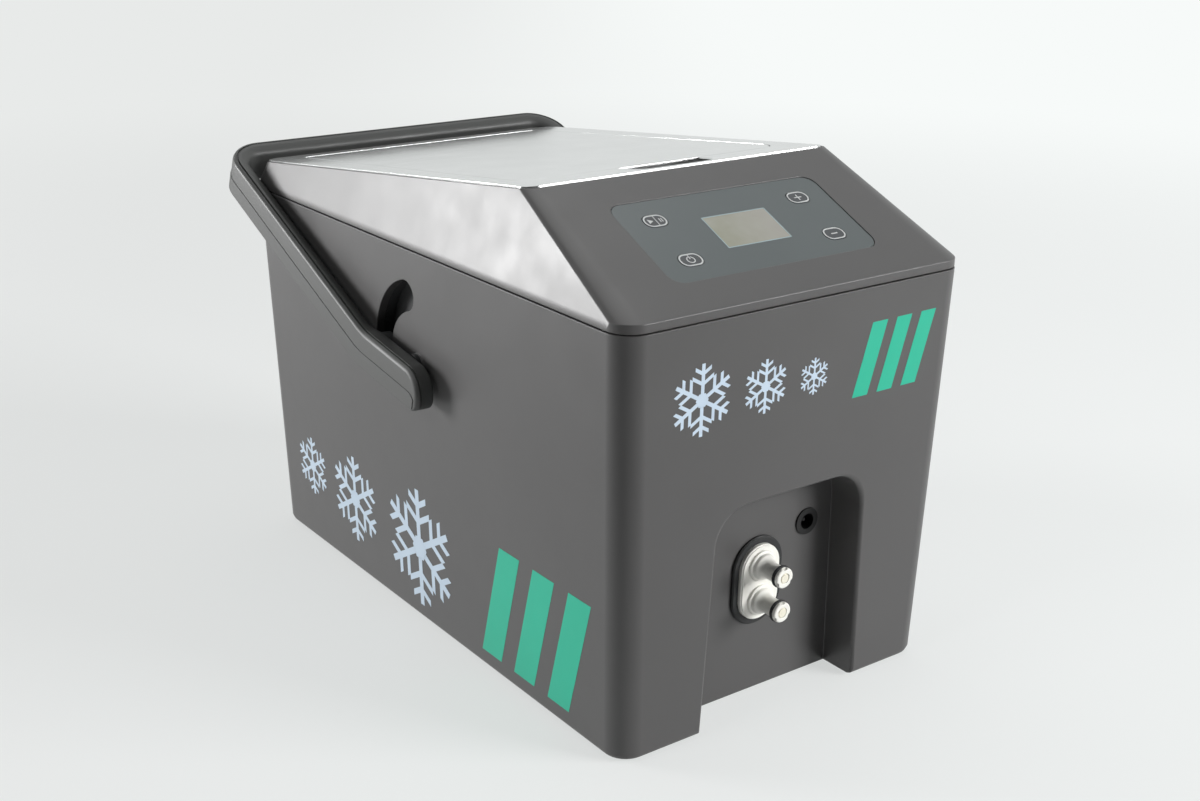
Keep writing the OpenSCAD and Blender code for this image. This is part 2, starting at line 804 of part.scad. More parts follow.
// Boards of foam that stand round the tank and under it.
module foam_jacket() {
    foam_hw = tank_hw + foam_t;
    floor_z = foot_out + wall;
    board_z = tank_z - part_gap;
    foam_top = seam_z - 5.5;
    color([0.9, 0.87, 0.78]) {
        foam_board(-foam_hw, foam_hw, foam_y0, foam_y1, floor_z, board_z);
        difference() {
            foam_board(-foam_hw, foam_hw, foam_y0, tank_y0 - part_gap,
                board_z + part_gap, foam_top);
            at_spigots() translate([0, 0, foam_y0 - 1]) cylinder(d = spigot_d + 2, h = 60);
        }
        foam_board(-foam_hw, foam_hw, tank_y1 + part_gap, foam_y1, board_z + part_gap, foam_top);
        both_sides() foam_board(tank_hw + part_gap, foam_hw, tank_y0, tank_y1,
            board_z + part_gap, foam_top);
    }
}

module intake_strainer() {
    strainer_y = tank_y0 + tank_t + tank_foot + tank_draft * (lip_z - tank_z) + part_gap;
    color(DARK_GREY) difference() {
        from_front() translate([spigot_x - 13, strainer_y, tank_z + tank_t]) cube([26, 16, 30]);
        from_front() translate([spigot_x - 11, strainer_y - 1, tank_z + tank_t - 1])
            cube([22, 15, 29]);
        for (i = [0:4]) from_front()
            translate([spigot_x - 9 + i * 4, strainer_y + 10, tank_z + tank_t + 3])
                cube([2, 10, 22]);
    }
}

// ---- Key panel -----------------------------------------------------------------------
module control_overlay() {
    color(DARK_GREY) difference() {
        on_panel() rounded_plate(overlay_w / 2, overlay_y, overlay_y + overlay_l, overlay_r,
            pocket_z, -overlay_in);
        on_panel() rounded_plate(window_w / 2, window_y - window_l / 2,
            window_y + window_l / 2, 1.5, -5, 5);
        for (i = [0:3]) at_key(i) key_pad(0.3, -5, 5);
    }
}

module display_lens() {
    color([0.6, 0.6, 0.57]) on_panel() rounded_plate(window_w / 2 - 0.1,
        window_y - window_l / 2 + 0.1, window_y + window_l / 2 - 0.1, 1.4,
        pocket_z, -overlay_in);
}

module display_module() {
    frame_in = 3;
    color([0.3, 0.34, 0.3]) on_panel() difference() {
        rounded_plate(window_w / 2 + frame_in, window_y - window_l / 2 - frame_in,
            window_y + window_l / 2 + frame_in, 1.5, -board_in, -wall - part_gap);
        rounded_plate(window_w / 2 - 2, window_y - window_l / 2 + 2,
            window_y + window_l / 2 - 2, 1, -wall - 1.2, 0);
    }
}

module key_cap(i) {
    color([0.3, 0.31, 0.33]) at_key(i) {
        key_pad(0, pocket_z - 1, -overlay_in + 0.1);
        translate([0, 0, -board_in + 4.6]) cylinder(d = 4, h = board_in - 5);
    }
}

module key_play() { key_cap(0); }
module key_power() { key_cap(1); }
module key_plus() { key_cap(2); }
module key_minus() { key_cap(3); }

module key_switches() {
    color(RUBBER) for (i = [0:3]) at_key(i) translate([0, 0, -board_in]) {
        translate([-3, -3, 0]) cube([6, 6, 3.2]);
        cylinder(d = 3.4, h = 4.6 - key_travel - 0.1);
    }
}

module control_board() {
    color([0.1, 0.35, 0.2]) difference() {
        on_panel() rounded_plate(overlay_w / 2 - 4, overlay_y + 2, overlay_y + overlay_l + 2,
            2, -board_in - 1.6, -board_in);
        at_board_screws() translate([0, 0, -board_in - 3]) cylinder(d = 2.9, h = 6);
    }
}

module board_screws() {
    color(STEEL) at_board_screws() {
        translate([0, 0, -board_in - 1.6]) cylinder(d = 2.5, h = 8);
        translate([0, 0, -board_in - 3.4]) cylinder(d = 5, h = 1.8);
    }
}

// ---- Coupling ---------------------------------------------------------------------------
flange_w = plate_w + 24;
flange_l = plate_l + 8;
nozzle_l = notch_d - plate_h;

module at_coupling_screws() {
    for (x = [-1, 1]) translate([coupling_x + x * (flange_w / 2 - 4.5), 0, 0]) children();
}

module at_nozzles() {
    on_notch(coupling_z) for (y = [-1, 1])
        translate([coupling_x, y * nozzle_pitch / 2, plate_h]) children();
}

// Half section of a nozzle: stepped boss, flared foot, barrel, ring groove, tip.
module nozzle_profile() {
    r = barrel_d / 2;
    groove_z = nozzle_l - 4.4;
    polygon([[0, -1], [9, -1], [9, 1.2], [8.4, 1.6], [7.6, 1.6], [7.2, 3.4], [r + 1, 4.4],
        [r + 0.3, 5.6], [r, 7.4], [r, groove_z - 1.2], [r + 0.6, groove_z - 0.6],
        [r + 0.6, groove_z], [r - 0.7, groove_z], [r - 0.7, groove_z + 2.2],
        [tip_d / 2, groove_z + 2.2], [tip_d / 2, nozzle_l - 0.6],
        [tip_d / 2 - 0.6, nozzle_l], [0, nozzle_l]]);
}

module coupling_body() {
    barb_y = notch_d + draft * (seam_z - coupling_z) + wall;
    color(WHITE) difference() {
        union() {
            on_notch(coupling_z) translate([coupling_x, 0, 0]) {
                stadium(plate_w, plate_l, -wall, plate_h - 0.7);
                stadium(plate_w - 1.4, plate_l - 1.4, plate_h - 0.8, plate_h);
                translate([-flange_w / 2, -flange_l / 2, -wall - 3]) cube([flange_w, flange_l, 3]);
            }
            at_nozzles() rotate_extrude() nozzle_profile();
            at_barbs() translate([0, 0, barb_y]) cylinder(d = spigot_d, h = 14);
        }
        // Three scallops round each tip.
        at_nozzles() for (i = [0:2]) rotate([0, 0, 90 + 120 * i])
            translate([tip_d / 2 + 0.7, 0, nozzle_l - 1.6]) cylinder(d = 3.4, h = 3);
        at_nozzles() translate([0, 0, nozzle_l - poppet_l - poppet_travel])
            cylinder(d = poppet_d + 2 * run_fit, h = 20);
        at_nozzles() translate([0, 0, -plate_h - 1]) cylinder(d = poppet_d - 2, h = 40);
        at_barbs() translate([0, 0, barb_y - 1]) cylinder(d = poppet_d, h = 20);
        on_notch(coupling_z) at_coupling_screws()
            translate([0, 0, -wall - 5]) cylinder(d = 3.2, h = 8);
    }
}

module at_barbs() {
    for (s = [-1, 1]) from_front()
        translate([coupling_x, 0, coupling_z + s * nozzle_pitch / 2])
            rotate([-90, 0, 0]) children();
}

module coupling_gasket() {
    color(RUBBER) on_notch(coupling_z) translate([coupling_x, 0, 0]) difference() {
        union() {
            stadium(plate_w + 2 * gasket_w, plate_l + 2 * gasket_w, 0, gasket_t - 0.5);
            stadium(plate_w + 2 * gasket_w - 1, plate_l + 2 * gasket_w - 1, 0, gasket_t);
        }
        stadium(plate_w + 0.2, plate_l + 0.2, -1, 5);
    }
}

module coupling_screws() {
    color(STEEL) on_notch(coupling_z) at_coupling_screws() {
        translate([0, 0, -wall - 3]) cylinder(d = 3, h = wall + 2);
        translate([0, 0, -wall - 5]) cylinder(d = 5.6, h = 2);
    }
}

module nozzle_o_rings() {
    section = 2;
    color(RUBBER) at_nozzles() translate([0, 0, nozzle_l - 3.3])
        rotate_extrude() translate([barrel_d / 2 - 0.6 + section / 2, 0]) circle(d = section, $fn = 24);
}

module valve_poppet(side) {
    color([0.93, 0.9, 0.82]) on_notch(coupling_z)
        translate([coupling_x, side * nozzle_pitch / 2, notch_d - poppet_l]) difference() {
            union() {
                cylinder(d = poppet_d, h = poppet_l - 0.5);
                cylinder(d = poppet_d - 1, h = poppet_l);
            }
            translate([0, 0, -1]) cylinder(d = poppet_d - 3, h = poppet_l - 1);
        }
}

module valve_poppet_upper() { valve_poppet(1); }
module valve_poppet_lower() { valve_poppet(-1); }

module dc_jack() {
    color(RUBBER) on_notch(jack_z) translate([jack_x, 0, 0]) {
        difference() {
            union() {
                translate([0, 0, -16]) cylinder(d = jack_d - 2 * run_fit, h = 16);
                cylinder(d = jack_d + 3, h = 0.9);
            }
            translate([0, 0, -10]) cylinder(d = jack_d - 3.4, h = 12);
        }
        translate([0, 0, -11]) cylinder(d = 2, h = 9);
    }
}

module jack_nut() {
    color(STEEL) on_notch(jack_z) translate([jack_x, 0, -wall - 4]) difference() {
        cylinder(d = jack_d + 7, h = 4, $fn = 6);
        translate([0, 0, -1]) cylinder(d = jack_d + 2 * run_fit, h = 6);
    }
}

// ---- Pump -------------------------------------------------------------------------------
// The axis runs across the body, level so that the outlet meets the upper nozzle.
outlet_drop = 16.8;
pump_z = coupling_z + nozzle_pitch / 2 - outlet_drop;
back_t = 4;
cover_t = 3;
shaft_d = 4;
inlet_l = 19;

// on_pump: z runs along the pump's axis from the housing's rear face.
module on_pump() {
    from_front() translate([coupling_x - volute_l / 2, pump_y, pump_z])
        along_x() children();
}

module pump_motor() {
    color(DARK_GREY) on_pump() difference() {
        union() {
            translate([0, 0, -motor_l]) cylinder(d = motor_d, h = motor_l);
            translate([0, 0, -3]) cylinder(d = motor_d + 4, h = 3);
            translate([0, 0, -motor_l - 4]) cylinder(d = 12, h = 5);
        }
        translate([0, 0, -9]) cylinder(d = shaft_d + 2 * run_fit, h = 10);
    }
}

module pump_volute() {
    color(RUBBER) difference() {
        union() {
            on_pump() cylinder(d = volute_d, h = volute_l);
            from_front() translate([coupling_x, pump_y, pump_z + outlet_drop])
                rotate([90, 0, 0]) cylinder(d = spigot_d, h = volute_d / 2 + 12);
        }
        on_pump() translate([0, 0, back_t]) cylinder(d = volute_d - 8, h = volute_l);
        on_pump() translate([0, 0, -1]) cylinder(d = shaft_d + 2 * run_fit, h = 10);
        from_front() translate([coupling_x, pump_y - 6, pump_z + outlet_drop])
            rotate([90, 0, 0]) cylinder(d = spigot_d - 4, h = volute_d);
    }
}

module pump_cover() {
    color(RUBBER) on_pump() translate([0, 0, volute_l]) difference() {
        union() {
            cylinder(d = volute_d, h = cover_t);
            cylinder(d = spigot_d, h = cover_t + inlet_l);
        }
        translate([0, 0, -1]) cylinder(d = spigot_d - 4, h = inlet_l + 10);
    }
}

module pump_impeller() {
    hub_d = 9;
    blade_r = impeller_d / 2 - 8.6;
    color(WHITE) on_pump() translate([0, 0, back_t + 1]) difference() {
        union() {
            cylinder(d = impeller_d, h = 2);
            cylinder(d = hub_d, h = 9);
            for (i = [0:5]) rotate([0, 0, 60 * i]) translate([blade_r, 0, 1])
                rotate_extrude(angle = 100, $fn = 48) translate([7, 0]) square([1.2, 11]);
        }
        translate([0, 0, -1]) cylinder(d = shaft_d, h = 7);
    }
}

module pump_shaft() {
    color(STEEL) on_pump() translate([0, 0, -8]) cylinder(d = shaft_d, h = 8 + back_t + 7);
}

module pump_cradle() {
    foot_h = 5;
    color(DARK_GREY) difference() {
        union() {
            from_front() translate([cradle_x - cradle_w / 2, pump_y - 17, boss_z])
                cube([cradle_w, 34, pump_z - boss_z - 6]);
            from_front() translate([cradle_x - cradle_w / 2, pump_y - cradle_l / 2, boss_z])
                cube([cradle_w, cradle_l, foot_h]);
        }
        from_front() translate([cradle_x - cradle_w, pump_y, pump_z]) along_x()
            cylinder(d = motor_d + 0.2, h = 2 * cradle_w);
        from_front() translate([cradle_x - cradle_w / 2 + 4, pump_y - 20, boss_z + foot_h])
            cube([cradle_w - 8, 40, pump_z - boss_z - foot_h - motor_d / 2 - 4]);
        at_cradle_screws() cylinder(d = 3.4, h = boss_z + foot_h + 1);
    }
}

module cradle_screws() {
    color(STEEL) at_cradle_screws() {
        translate([0, 0, boss_z - 7]) cylinder(d = 3, h = 13);
        translate([0, 0, boss_z + 5]) cylinder(d = 6, h = 2.4);
    }
}

// ---- Hoses ------------------------------------------------------------------------------
// A quarter bend that starts along +z at the origin and turns towards +x.
module elbow(d, r) {
    translate([r, 0, 0]) rotate([90, 0, 180]) rotate_extrude(angle = 90) translate([r, 0])
        circle(d = d);
}

suction_r = 14;
return_r = 9;
rise_r = 14;
hose_start = notch_d + draft * (seam_z - coupling_z) + wall + 3.5;
return_y = hose_start + 12 + return_r;

suction_turn_y = pump_y + suction_r;
suction_end_x = coupling_x + volute_l / 2 + cover_t + 7;

// Each route is drawn once at the outer diameter and once, a little longer, at the bore.
module suction_route(d, over) {
    from_front() {
        translate([spigot_x, suction_turn_y, spigot_z]) rotate([-90, 0, 0])
            cylinder(d = d, h = foam_y0 - 0.5 - suction_turn_y + over);
        translate([spigot_x, suction_turn_y, spigot_z]) rotate([90, 0, 0]) mirror([1, 0, 0])
            elbow(d, suction_r);
        translate([suction_end_x - over, pump_y, pump_z]) along_x()
            cylinder(d = d, h = spigot_x - suction_r - suction_end_x + over);
    }
}

module suction_hose() {
    color([0.75, 0.78, 0.8]) difference() {
        suction_route(hose_d, 0);
        suction_route(hose_bore, 1);
    }
}

module delivery_hose() {
    color([0.75, 0.78, 0.8]) from_front()
        translate([coupling_x, hose_start, coupling_z + nozzle_pitch / 2])
            rotate([-90, 0, 0]) tube(hose_d, hose_bore, pump_y - volute_d / 2 - hose_start - 1);
}

module return_route(d, over) {
    z = coupling_z - nozzle_pitch / 2;
    turn_y = hose_start + 12;
    from_front() {
        translate([coupling_x, hose_start - over, z]) rotate([-90, 0, 0])
            cylinder(d = d, h = 12 + over);
        translate([coupling_x, turn_y, z]) rotate([-90, 0, 0]) elbow(d, return_r);
        translate([coupling_x + return_r, return_y, z]) along_x()
            cylinder(d = d, h = return_x - rise_r - coupling_x - return_r);
        translate([return_x - rise_r, return_y, z]) rotate([0, 90, 0]) rotate([0, 0, 180])
            elbow(d, rise_r);
        translate([return_x, return_y, z + rise_r])
            cylinder(d = d, h = return_z - z - 2 * rise_r);
        translate([return_x, return_y, return_z - rise_r]) rotate([0, 0, 90]) elbow(d, rise_r);
        translate([return_x, return_y + rise_r, return_z]) rotate([-90, 0, 0])
            cylinder(d = d, h = foam_y0 - 0.5 - return_y - rise_r + over);
    }
}

module return_hose() {
    color([0.75, 0.78, 0.8]) difference() {
        return_route(hose_d, 0);
        return_route(hose_bore, 1);
    }
}

module hose_clip() {
    tube(hose_d + 2.6, hose_d, 4);
    translate([-2, hose_d / 2 + 1, 0]) cube([4, 3.5, 4]);
}

module hose_clips() {
    inlet_x = coupling_x + volute_l / 2 + cover_t + 8;
    color(STEEL) from_front() {
        translate([coupling_x, hose_start + 1.5, coupling_z + nozzle_pitch / 2])
            rotate([-90, 180, 0]) hose_clip();
        translate([coupling_x, hose_start + 1.5, coupling_z - nozzle_pitch / 2])
            rotate([-90, 0, 0]) hose_clip();
        translate([coupling_x, pump_y - volute_d / 2 - 6.5, coupling_z + nozzle_pitch / 2])
            rotate([-90, 180, 0]) hose_clip();
        translate([inlet_x, pump_y, pump_z]) along_x() hose_clip();
        translate([spigot_x, foam_y0 - 6.5, spigot_z]) rotate([-90, 0, 0]) hose_clip();
        translate([return_x, foam_y0 - 6.5, return_z]) rotate([-90, 0, 0]) hose_clip();
    }
}

// ---- Handle -----------------------------------------------------------------------------
// The handle is one skin over rings that run from one pad, along its arm, round
// the crossbar and back to the other pad.

// Levels across the bar: depth from the inner face, then how far the top of an
// arm, the top of a pad and the underside stand back.
band_out = 0.4;
bar_levels = [[0, 5.2, 0.8, 1.4], [0.5, 3.6, 0.3, 0.6], [1.4, 2.2, 0, 0], [3.3, 1.2, 0, 0],
    [5.1, 0.4, 0, 0], [6.3, 0, 0, 0], [bar_t - 3.9, 0, 0, 0], [bar_t - 3.7, 1, 0.9, 0],
    [bar_t - 2.8, 1, 0.9, 0], [bar_t - 2.6, 0.1, 0.2, 0], [bar_t - 1.6, 0.4, 0.9, 0],
    [bar_t - 0.9, 1.1, 1.8, 0], [bar_t - band_out, 2.2, 3.2, 0.2]];
n_levels = len(bar_levels);
n_ring = 2 * n_levels + 3;

// Points seen from the side, about the pivot: along the arm and up from it, and
// in front of the pivot along a pad and up from it.
function arm_point(along, up) = [
    along * cos(handle_tilt) - up * sin(handle_tilt),
    along * sin(handle_tilt) + up * cos(handle_tilt)];
function pad_point(ahead, up) = [
    -ahead * cos(pad_tilt) - up * sin(pad_tilt),
    -ahead * sin(pad_tilt) + up * cos(pad_tilt)];

// The bend between a pad and its arm has one centre above both.
pad_bend_r = 50;
bend_steps = 6;
arm_rise = pad_bend_r - arm_drop;
pad_rise = pad_bend_r + pad_top;
bend_turn = sin(handle_tilt - pad_tilt);
bend_y = (cos(handle_tilt) * pad_rise - cos(pad_tilt) * arm_rise) / bend_turn;
bend_z = (sin(handle_tilt) * pad_rise - sin(pad_tilt) * arm_rise) / bend_turn;
function bend_point(depth, share) =
    let (a = pad_tilt + (handle_tilt - pad_tilt) * share)
    [bend_y + (pad_bend_r + depth) * sin(a), bend_z - (pad_bend_r + depth) * cos(a)];

toe_r = 6;
pad_low = pad_top - bar_h;
band_up = pad_low + band_h;
arm_l = reach - bend_r;

// A point of a pad's lower front corner, from the front round to the underside.
function toe_point(front_in, low_in, a) =
    let (rx = max(toe_r - front_in, 0.4), ry = max(toe_r - low_in, 0.4))
    pad_point(pad_l - front_in - rx + rx * cos(a), pad_low + low_in + ry - ry * sin(a));

// Each line starts at the toe and ends at the arm: the top, the underside and
// the step above the raised band. All have as many points.
function top_line(arm_inset, pad_inset, low_in) = concat(
    [for (a = [40, 20, 0]) toe_point(pad_inset, low_in, a)],
    [for (a = [90:-10:0])
        pad_point(pad_l - pad_r + (pad_r - pad_inset) * sin(a),
            pad_top - pad_r + (pad_r - pad_inset) * cos(a))],
    [for (i = [0:bend_steps])
        bend_point(pad_inset + (arm_inset - pad_inset) * i / bend_steps, i / bend_steps)]);
function low_line(pad_inset, low_in) = concat(
    [for (a = [50, 70, 90]) toe_point(pad_inset, low_in, a)],
    [for (i = [1:10])
        pad_point(pad_l - toe_r - (pad_r - toe_r) * i / 10, pad_low + low_in)],
    [for (i = [0:bend_steps]) bend_point(bar_h - low_in, i / bend_steps)]);
function step_line(drop) = concat(
    [toe_point(4, 0.5 + drop / 2, 45), toe_point(4.2, 0.5, 25), toe_point(4.3, 0.5, 5)],
    [for (p = [[3.9, 3.2], [4.7, 2.2], [5.9, 1.3], [7.3, 0.6], [8.8, 0.2], [10.3, 0], [11.7, 0],
            [12.9, 0], [14, 0], [pad_r, 0]])
        pad_point(pad_l - p[0], band_up - p[1] - drop)],
    [for (i = [0:bend_steps]) bend_point(bar_h - band_h + drop, i / bend_steps)]);

// Every point of the section: depth, depth below the top on an arm, and its line.
section = concat(
    [for (l = bar_levels) [l[0], l[1], top_line(l[1], l[2], l[3])]],
    [[bar_t - band_out, bar_h - band_h, step_line(0)],
        [bar_t, bar_h - band_h + 0.3, step_line(0.3)],
        [bar_t, bar_h - 0.7, low_line(3.9, 0.7)]],
    [for (i = [n_levels - 1:-1:0])
        let (l = bar_levels[i]) [l[0], bar_h - l[3], low_line(l[2], l[3])]]);

function side_ring(i) = [for (q = section) [arm_in + q[0], q[2][i][0], q[2][i][1]]];
function corner_ring(a) = [for (q = section)
    let (r = bend_r + q[0], p = arm_point(arm_l + r * sin(a), -arm_drop - q[1]))
    [arm_in - bend_r + r * cos(a), p[0], p[1]]];
function mirrored(ring) = [for (p = ring) [-p[0], p[1], p[2]]];

n_side = len(section[0][2]);
half_rings = concat([for (i = [0:n_side - 1]) side_ring(i)], [for (a = [0:9:90]) corner_ring(a)]);
rings = concat(half_rings,
    [for (i = [len(half_rings) - 1:-1:0]) mirrored(half_rings[i])]);

// The end of a pad, closed level by level.
function toe_cap(first) = concat(
    [for (i = [0:n_levels - 2])
        each [[first + i, first + i + 1, first + n_ring - 2 - i],
            [first + i, first + n_ring - 2 - i, first + n_ring - 1 - i]]],
    [for (i = [n_levels - 1:n_levels + 1])
        [first + i, first + i + 1, first + n_levels + 3]]);

module handle_form() {
    last = (len(rings) - 1) * n_ring;
    sides = [for (k = [0:len(rings) - 2], i = [0:n_ring - 1])
        let (a = k * n_ring + i, b = k * n_ring + (i + 1) % n_ring)
        each [[a, a + n_ring, b + n_ring], [a, b + n_ring, b]]];
    polyhedron(points = [for (ring = rings) each ring],
        faces = concat(toe_cap(0), sides,
            [for (f = toe_cap(last)) [f[2], f[1], f[0]]]));
}

pin_in = 6.3;

module handle() {
    color(BODY_GREY) difference() {
        at_pivot() handle_form();
        both_sides() at_pivot() {
            translate([arm_in - 1, 0, 0]) along_x() cylinder(d = pivot_d, h = pin_in + 1.2);
            translate([arm_in - 1, slot_r, 0]) along_x() cylinder(d = guide_d - 7, h = 7);
        }
    }
}

module pivot_pins() {
    color(STEEL) both_sides() at_pivot() translate([track_face - 6.5, 0, 0]) along_x()
        cylinder(d = pivot_d, h = arm_in + pin_in - track_face + 6.5);
}

module pivot_bushes() {
    color(RUBBER) both_sides() at_pivot() difference() {
        union() {
            translate([track_face - 4, 0, 0]) along_x()
                cylinder(d = bush_d, h = pivot_seat - track_face + 4);
            translate([pivot_seat, 0, 0]) along_x()
                cylinder(d = boss_d - 0.2, h = arm_in - pivot_seat - 0.2);
        }
        translate([track_face - 6, 0, 0]) along_x()
            cylinder(d = pivot_d + 2 * run_fit, h = 30);
    }
}

module pivot_clips() {
    color(STEEL) both_sides() at_pivot() translate([track_face - 5.8, 0, 0]) along_x()
        tube(bush_d + 4, pivot_d, 1.5);
}

module guide_pins() {
    color(DARK_GREY) both_sides() at_pivot() translate([track_face + 0.4, slot_r, 0]) along_x() {
        cylinder(d = guide_d, h = arm_in - track_face - 0.4);
        cylinder(d = guide_d - 7, h = arm_in - track_face + 5);
    }
}

module track_covers() {
    color(DARK_GREY) both_sides() difference() {
        slot_on_wall(slot_w + 6, track_face - track_d, track_face);
        slot_on_wall(slot_w + 0.6, track_face - track_d + 1.6, track_face + 1);
    }
}

main_shell();
rubber_feet();
closing_screws();
upper_shell();
lid_frame();
lid();
lid_liner();
lid_gasket();
hinge_pins();
reservoir_tank();
foam_jacket();
intake_strainer();
control_overlay();
display_lens();
display_module();
key_play();
key_power();
key_plus();
key_minus();
key_switches();
control_board();
board_screws();
coupling_body();
coupling_gasket();
coupling_screws();
nozzle_o_rings();
valve_poppet_upper();
valve_poppet_lower();
dc_jack();
jack_nut();
pump_motor();
pump_volute();
pump_cover();
pump_impeller();
pump_shaft();
pump_cradle();
cradle_screws();
suction_hose();
delivery_hose();
return_hose();
hose_clips();
handle();
pivot_pins();
pivot_bushes();
pivot_clips();
guide_pins();
track_covers();
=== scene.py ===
# %% [markdown]
# # A portable cold therapy machine
# The machine is a grey moulded box with an insulated tank under a silver lid, a key panel on
# its sloping front, two white nozzles in a notch and a handle that swings over the rear.
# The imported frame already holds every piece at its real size. This lesson dresses it: the
# mouldings get rounded edges, the printed parts are added, and every surface gets a finish.

# %% Load the frame
import json
import math

import bpy
from mathutils import Matrix, Vector


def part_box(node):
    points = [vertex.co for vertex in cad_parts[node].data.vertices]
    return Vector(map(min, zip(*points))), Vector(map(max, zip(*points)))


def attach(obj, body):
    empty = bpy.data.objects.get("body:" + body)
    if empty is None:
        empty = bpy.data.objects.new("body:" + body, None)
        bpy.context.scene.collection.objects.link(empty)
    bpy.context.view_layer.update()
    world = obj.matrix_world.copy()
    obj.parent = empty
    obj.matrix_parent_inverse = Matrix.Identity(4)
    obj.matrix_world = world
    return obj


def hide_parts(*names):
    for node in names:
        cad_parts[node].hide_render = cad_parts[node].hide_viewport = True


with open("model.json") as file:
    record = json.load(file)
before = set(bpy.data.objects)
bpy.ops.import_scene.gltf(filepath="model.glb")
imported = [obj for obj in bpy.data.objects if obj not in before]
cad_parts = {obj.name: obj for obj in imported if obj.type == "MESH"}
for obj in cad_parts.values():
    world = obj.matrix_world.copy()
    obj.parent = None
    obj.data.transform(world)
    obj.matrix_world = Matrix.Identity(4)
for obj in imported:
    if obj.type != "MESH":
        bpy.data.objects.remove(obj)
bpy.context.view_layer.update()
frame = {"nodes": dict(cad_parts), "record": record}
print("nodes in the frame:", len(frame["nodes"]))

# %% [markdown]
# ## Sizes that the pieces share
# Everything is in metres. The panel is an inclined plane, so it gets a matrix that turns local
# x, y and height into the machine's own axes. Its place comes from the same real sizes as the
# body: where the lip is, and how far behind and above it the ridge lies.

# %% Places on the machine
MM = 0.001
FRONT_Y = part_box("main_shell")[0][1]
BODY_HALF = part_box("main_shell")[1][0]
SEAM_Z = 0.2335
DRAFT = 0.0257
LIP_Z = SEAM_Z + 5.3 * MM
RIDGE_Y = FRONT_Y + 97 * MM
RIDGE_Z = LIP_Z + 45.8 * MM
PANEL_TILT = math.atan2(RIDGE_Z - LIP_Z, RIDGE_Y - FRONT_Y)
OVERLAY_LOW = 22 * MM
OVERLAY_HALF = 69 * MM


def plane_at(x, y, z, tilt):
    """Local x stays across, local y climbs the slope, local z points out of it."""
    return Matrix.Translation((x, y, z)) @ Matrix.Rotation(tilt, 4, "X")


PANEL = plane_at(0, FRONT_Y, LIP_Z, PANEL_TILT)
print("panel slope", round(math.degrees(PANEL_TILT), 1), "degrees")

# %% [markdown]
# ## Camera
# The camera is worked out from the photograph: its direction from the body's edges, its
# distance from their convergence. It leans half a degree, as hand-held cameras do.

# %% Camera
AZIMUTH = math.radians(-36.163)
ELEVATION = math.radians(19.851)
ROLL = math.radians(0.513)
LENS_PX = 1587.41
PHOTO_W = 1200
SENSOR_W = 36
EYE = Vector((-531.8 * MM, FRONT_Y - 552.6 * MM, 454.1 * MM))

back = Vector((math.sin(AZIMUTH) * math.cos(ELEVATION),
               -math.cos(AZIMUTH) * math.cos(ELEVATION), math.sin(ELEVATION)))
across = Vector((0, 0, 1)).cross(back).normalized()
above = back.cross(across)
right = across * math.cos(ROLL) + above * math.sin(ROLL)
up = above * math.cos(ROLL) - across * math.sin(ROLL)
camera_data = bpy.data.cameras.new("camera")
camera_data.sensor_width = SENSOR_W
camera_data.lens = SENSOR_W * LENS_PX / PHOTO_W
camera = bpy.data.objects.new("camera", camera_data)
bpy.context.scene.collection.objects.link(camera)
camera.matrix_world = Matrix.Translation(EYE) @ Matrix((right, up, back)).transposed().to_4x4()
bpy.context.scene.camera = camera
bpy.context.scene.view_settings.view_transform = "Standard"
print("lens", round(camera_data.lens, 2), "mm")

# %% [markdown]
# ## Helpers for materials
# Colours are written as the hex values a paint chart gives, and one function turns them to the
# linear values that a shader needs. Another adds a node, sets it and links it. A texture's
# scale is one over its real size, because Object coordinates are in metres.

# %% Colour and node helpers


def linear(hex_code):
    """An sRGB hex colour as linear RGBA."""
    channels = [int(hex_code[i:i + 2], 16) / 255 for i in (1, 3, 5)]
    return [c / 12.92 if c <= 0.04045 else ((c + 0.055) / 1.055) ** 2.4 for c in channels] + [1]


def add_node(tree, kind, inputs=None, **settings):
    """Adds a node, sets its properties and gives its inputs values or links."""
    made = tree.nodes.new(kind)
    for name, value in settings.items():
        setattr(made, name, value)
    for socket, value in (inputs or {}).items():
        if isinstance(value, bpy.types.NodeSocket):
            tree.links.new(value, made.inputs[socket])
        else:
            made.inputs[socket].default_value = value
    return made


def per_mm(size):
    """Texture scale for a pattern of this size in millimetres."""
    return 1 / (size * MM)


def new_material(name):
    """An empty material with a Principled shader joined to its output."""
    material = bpy.data.materials.new(name)
    material.use_nodes = True
    tree = material.node_tree
    tree.nodes.clear()
    shader = add_node(tree, "ShaderNodeBsdfPrincipled")
    add_node(tree, "ShaderNodeOutputMaterial", {"Surface": shader.outputs["BSDF"]})
    return material, tree, shader


# %% [markdown]
# ## Finishes
# Moulded plastic carries the grain of its tool: a spark-eroded texture of a few tenths of a
# millimetre that breaks up reflections. Its colour drifts very slightly where the melt flowed.
# So a finish is a base colour with a slow drift, a roughness that varies a little, and a bump
# of the grain's real size. Handling leaves the surface a touch smoother in soft patches.

# %% Moulded plastics and rubber


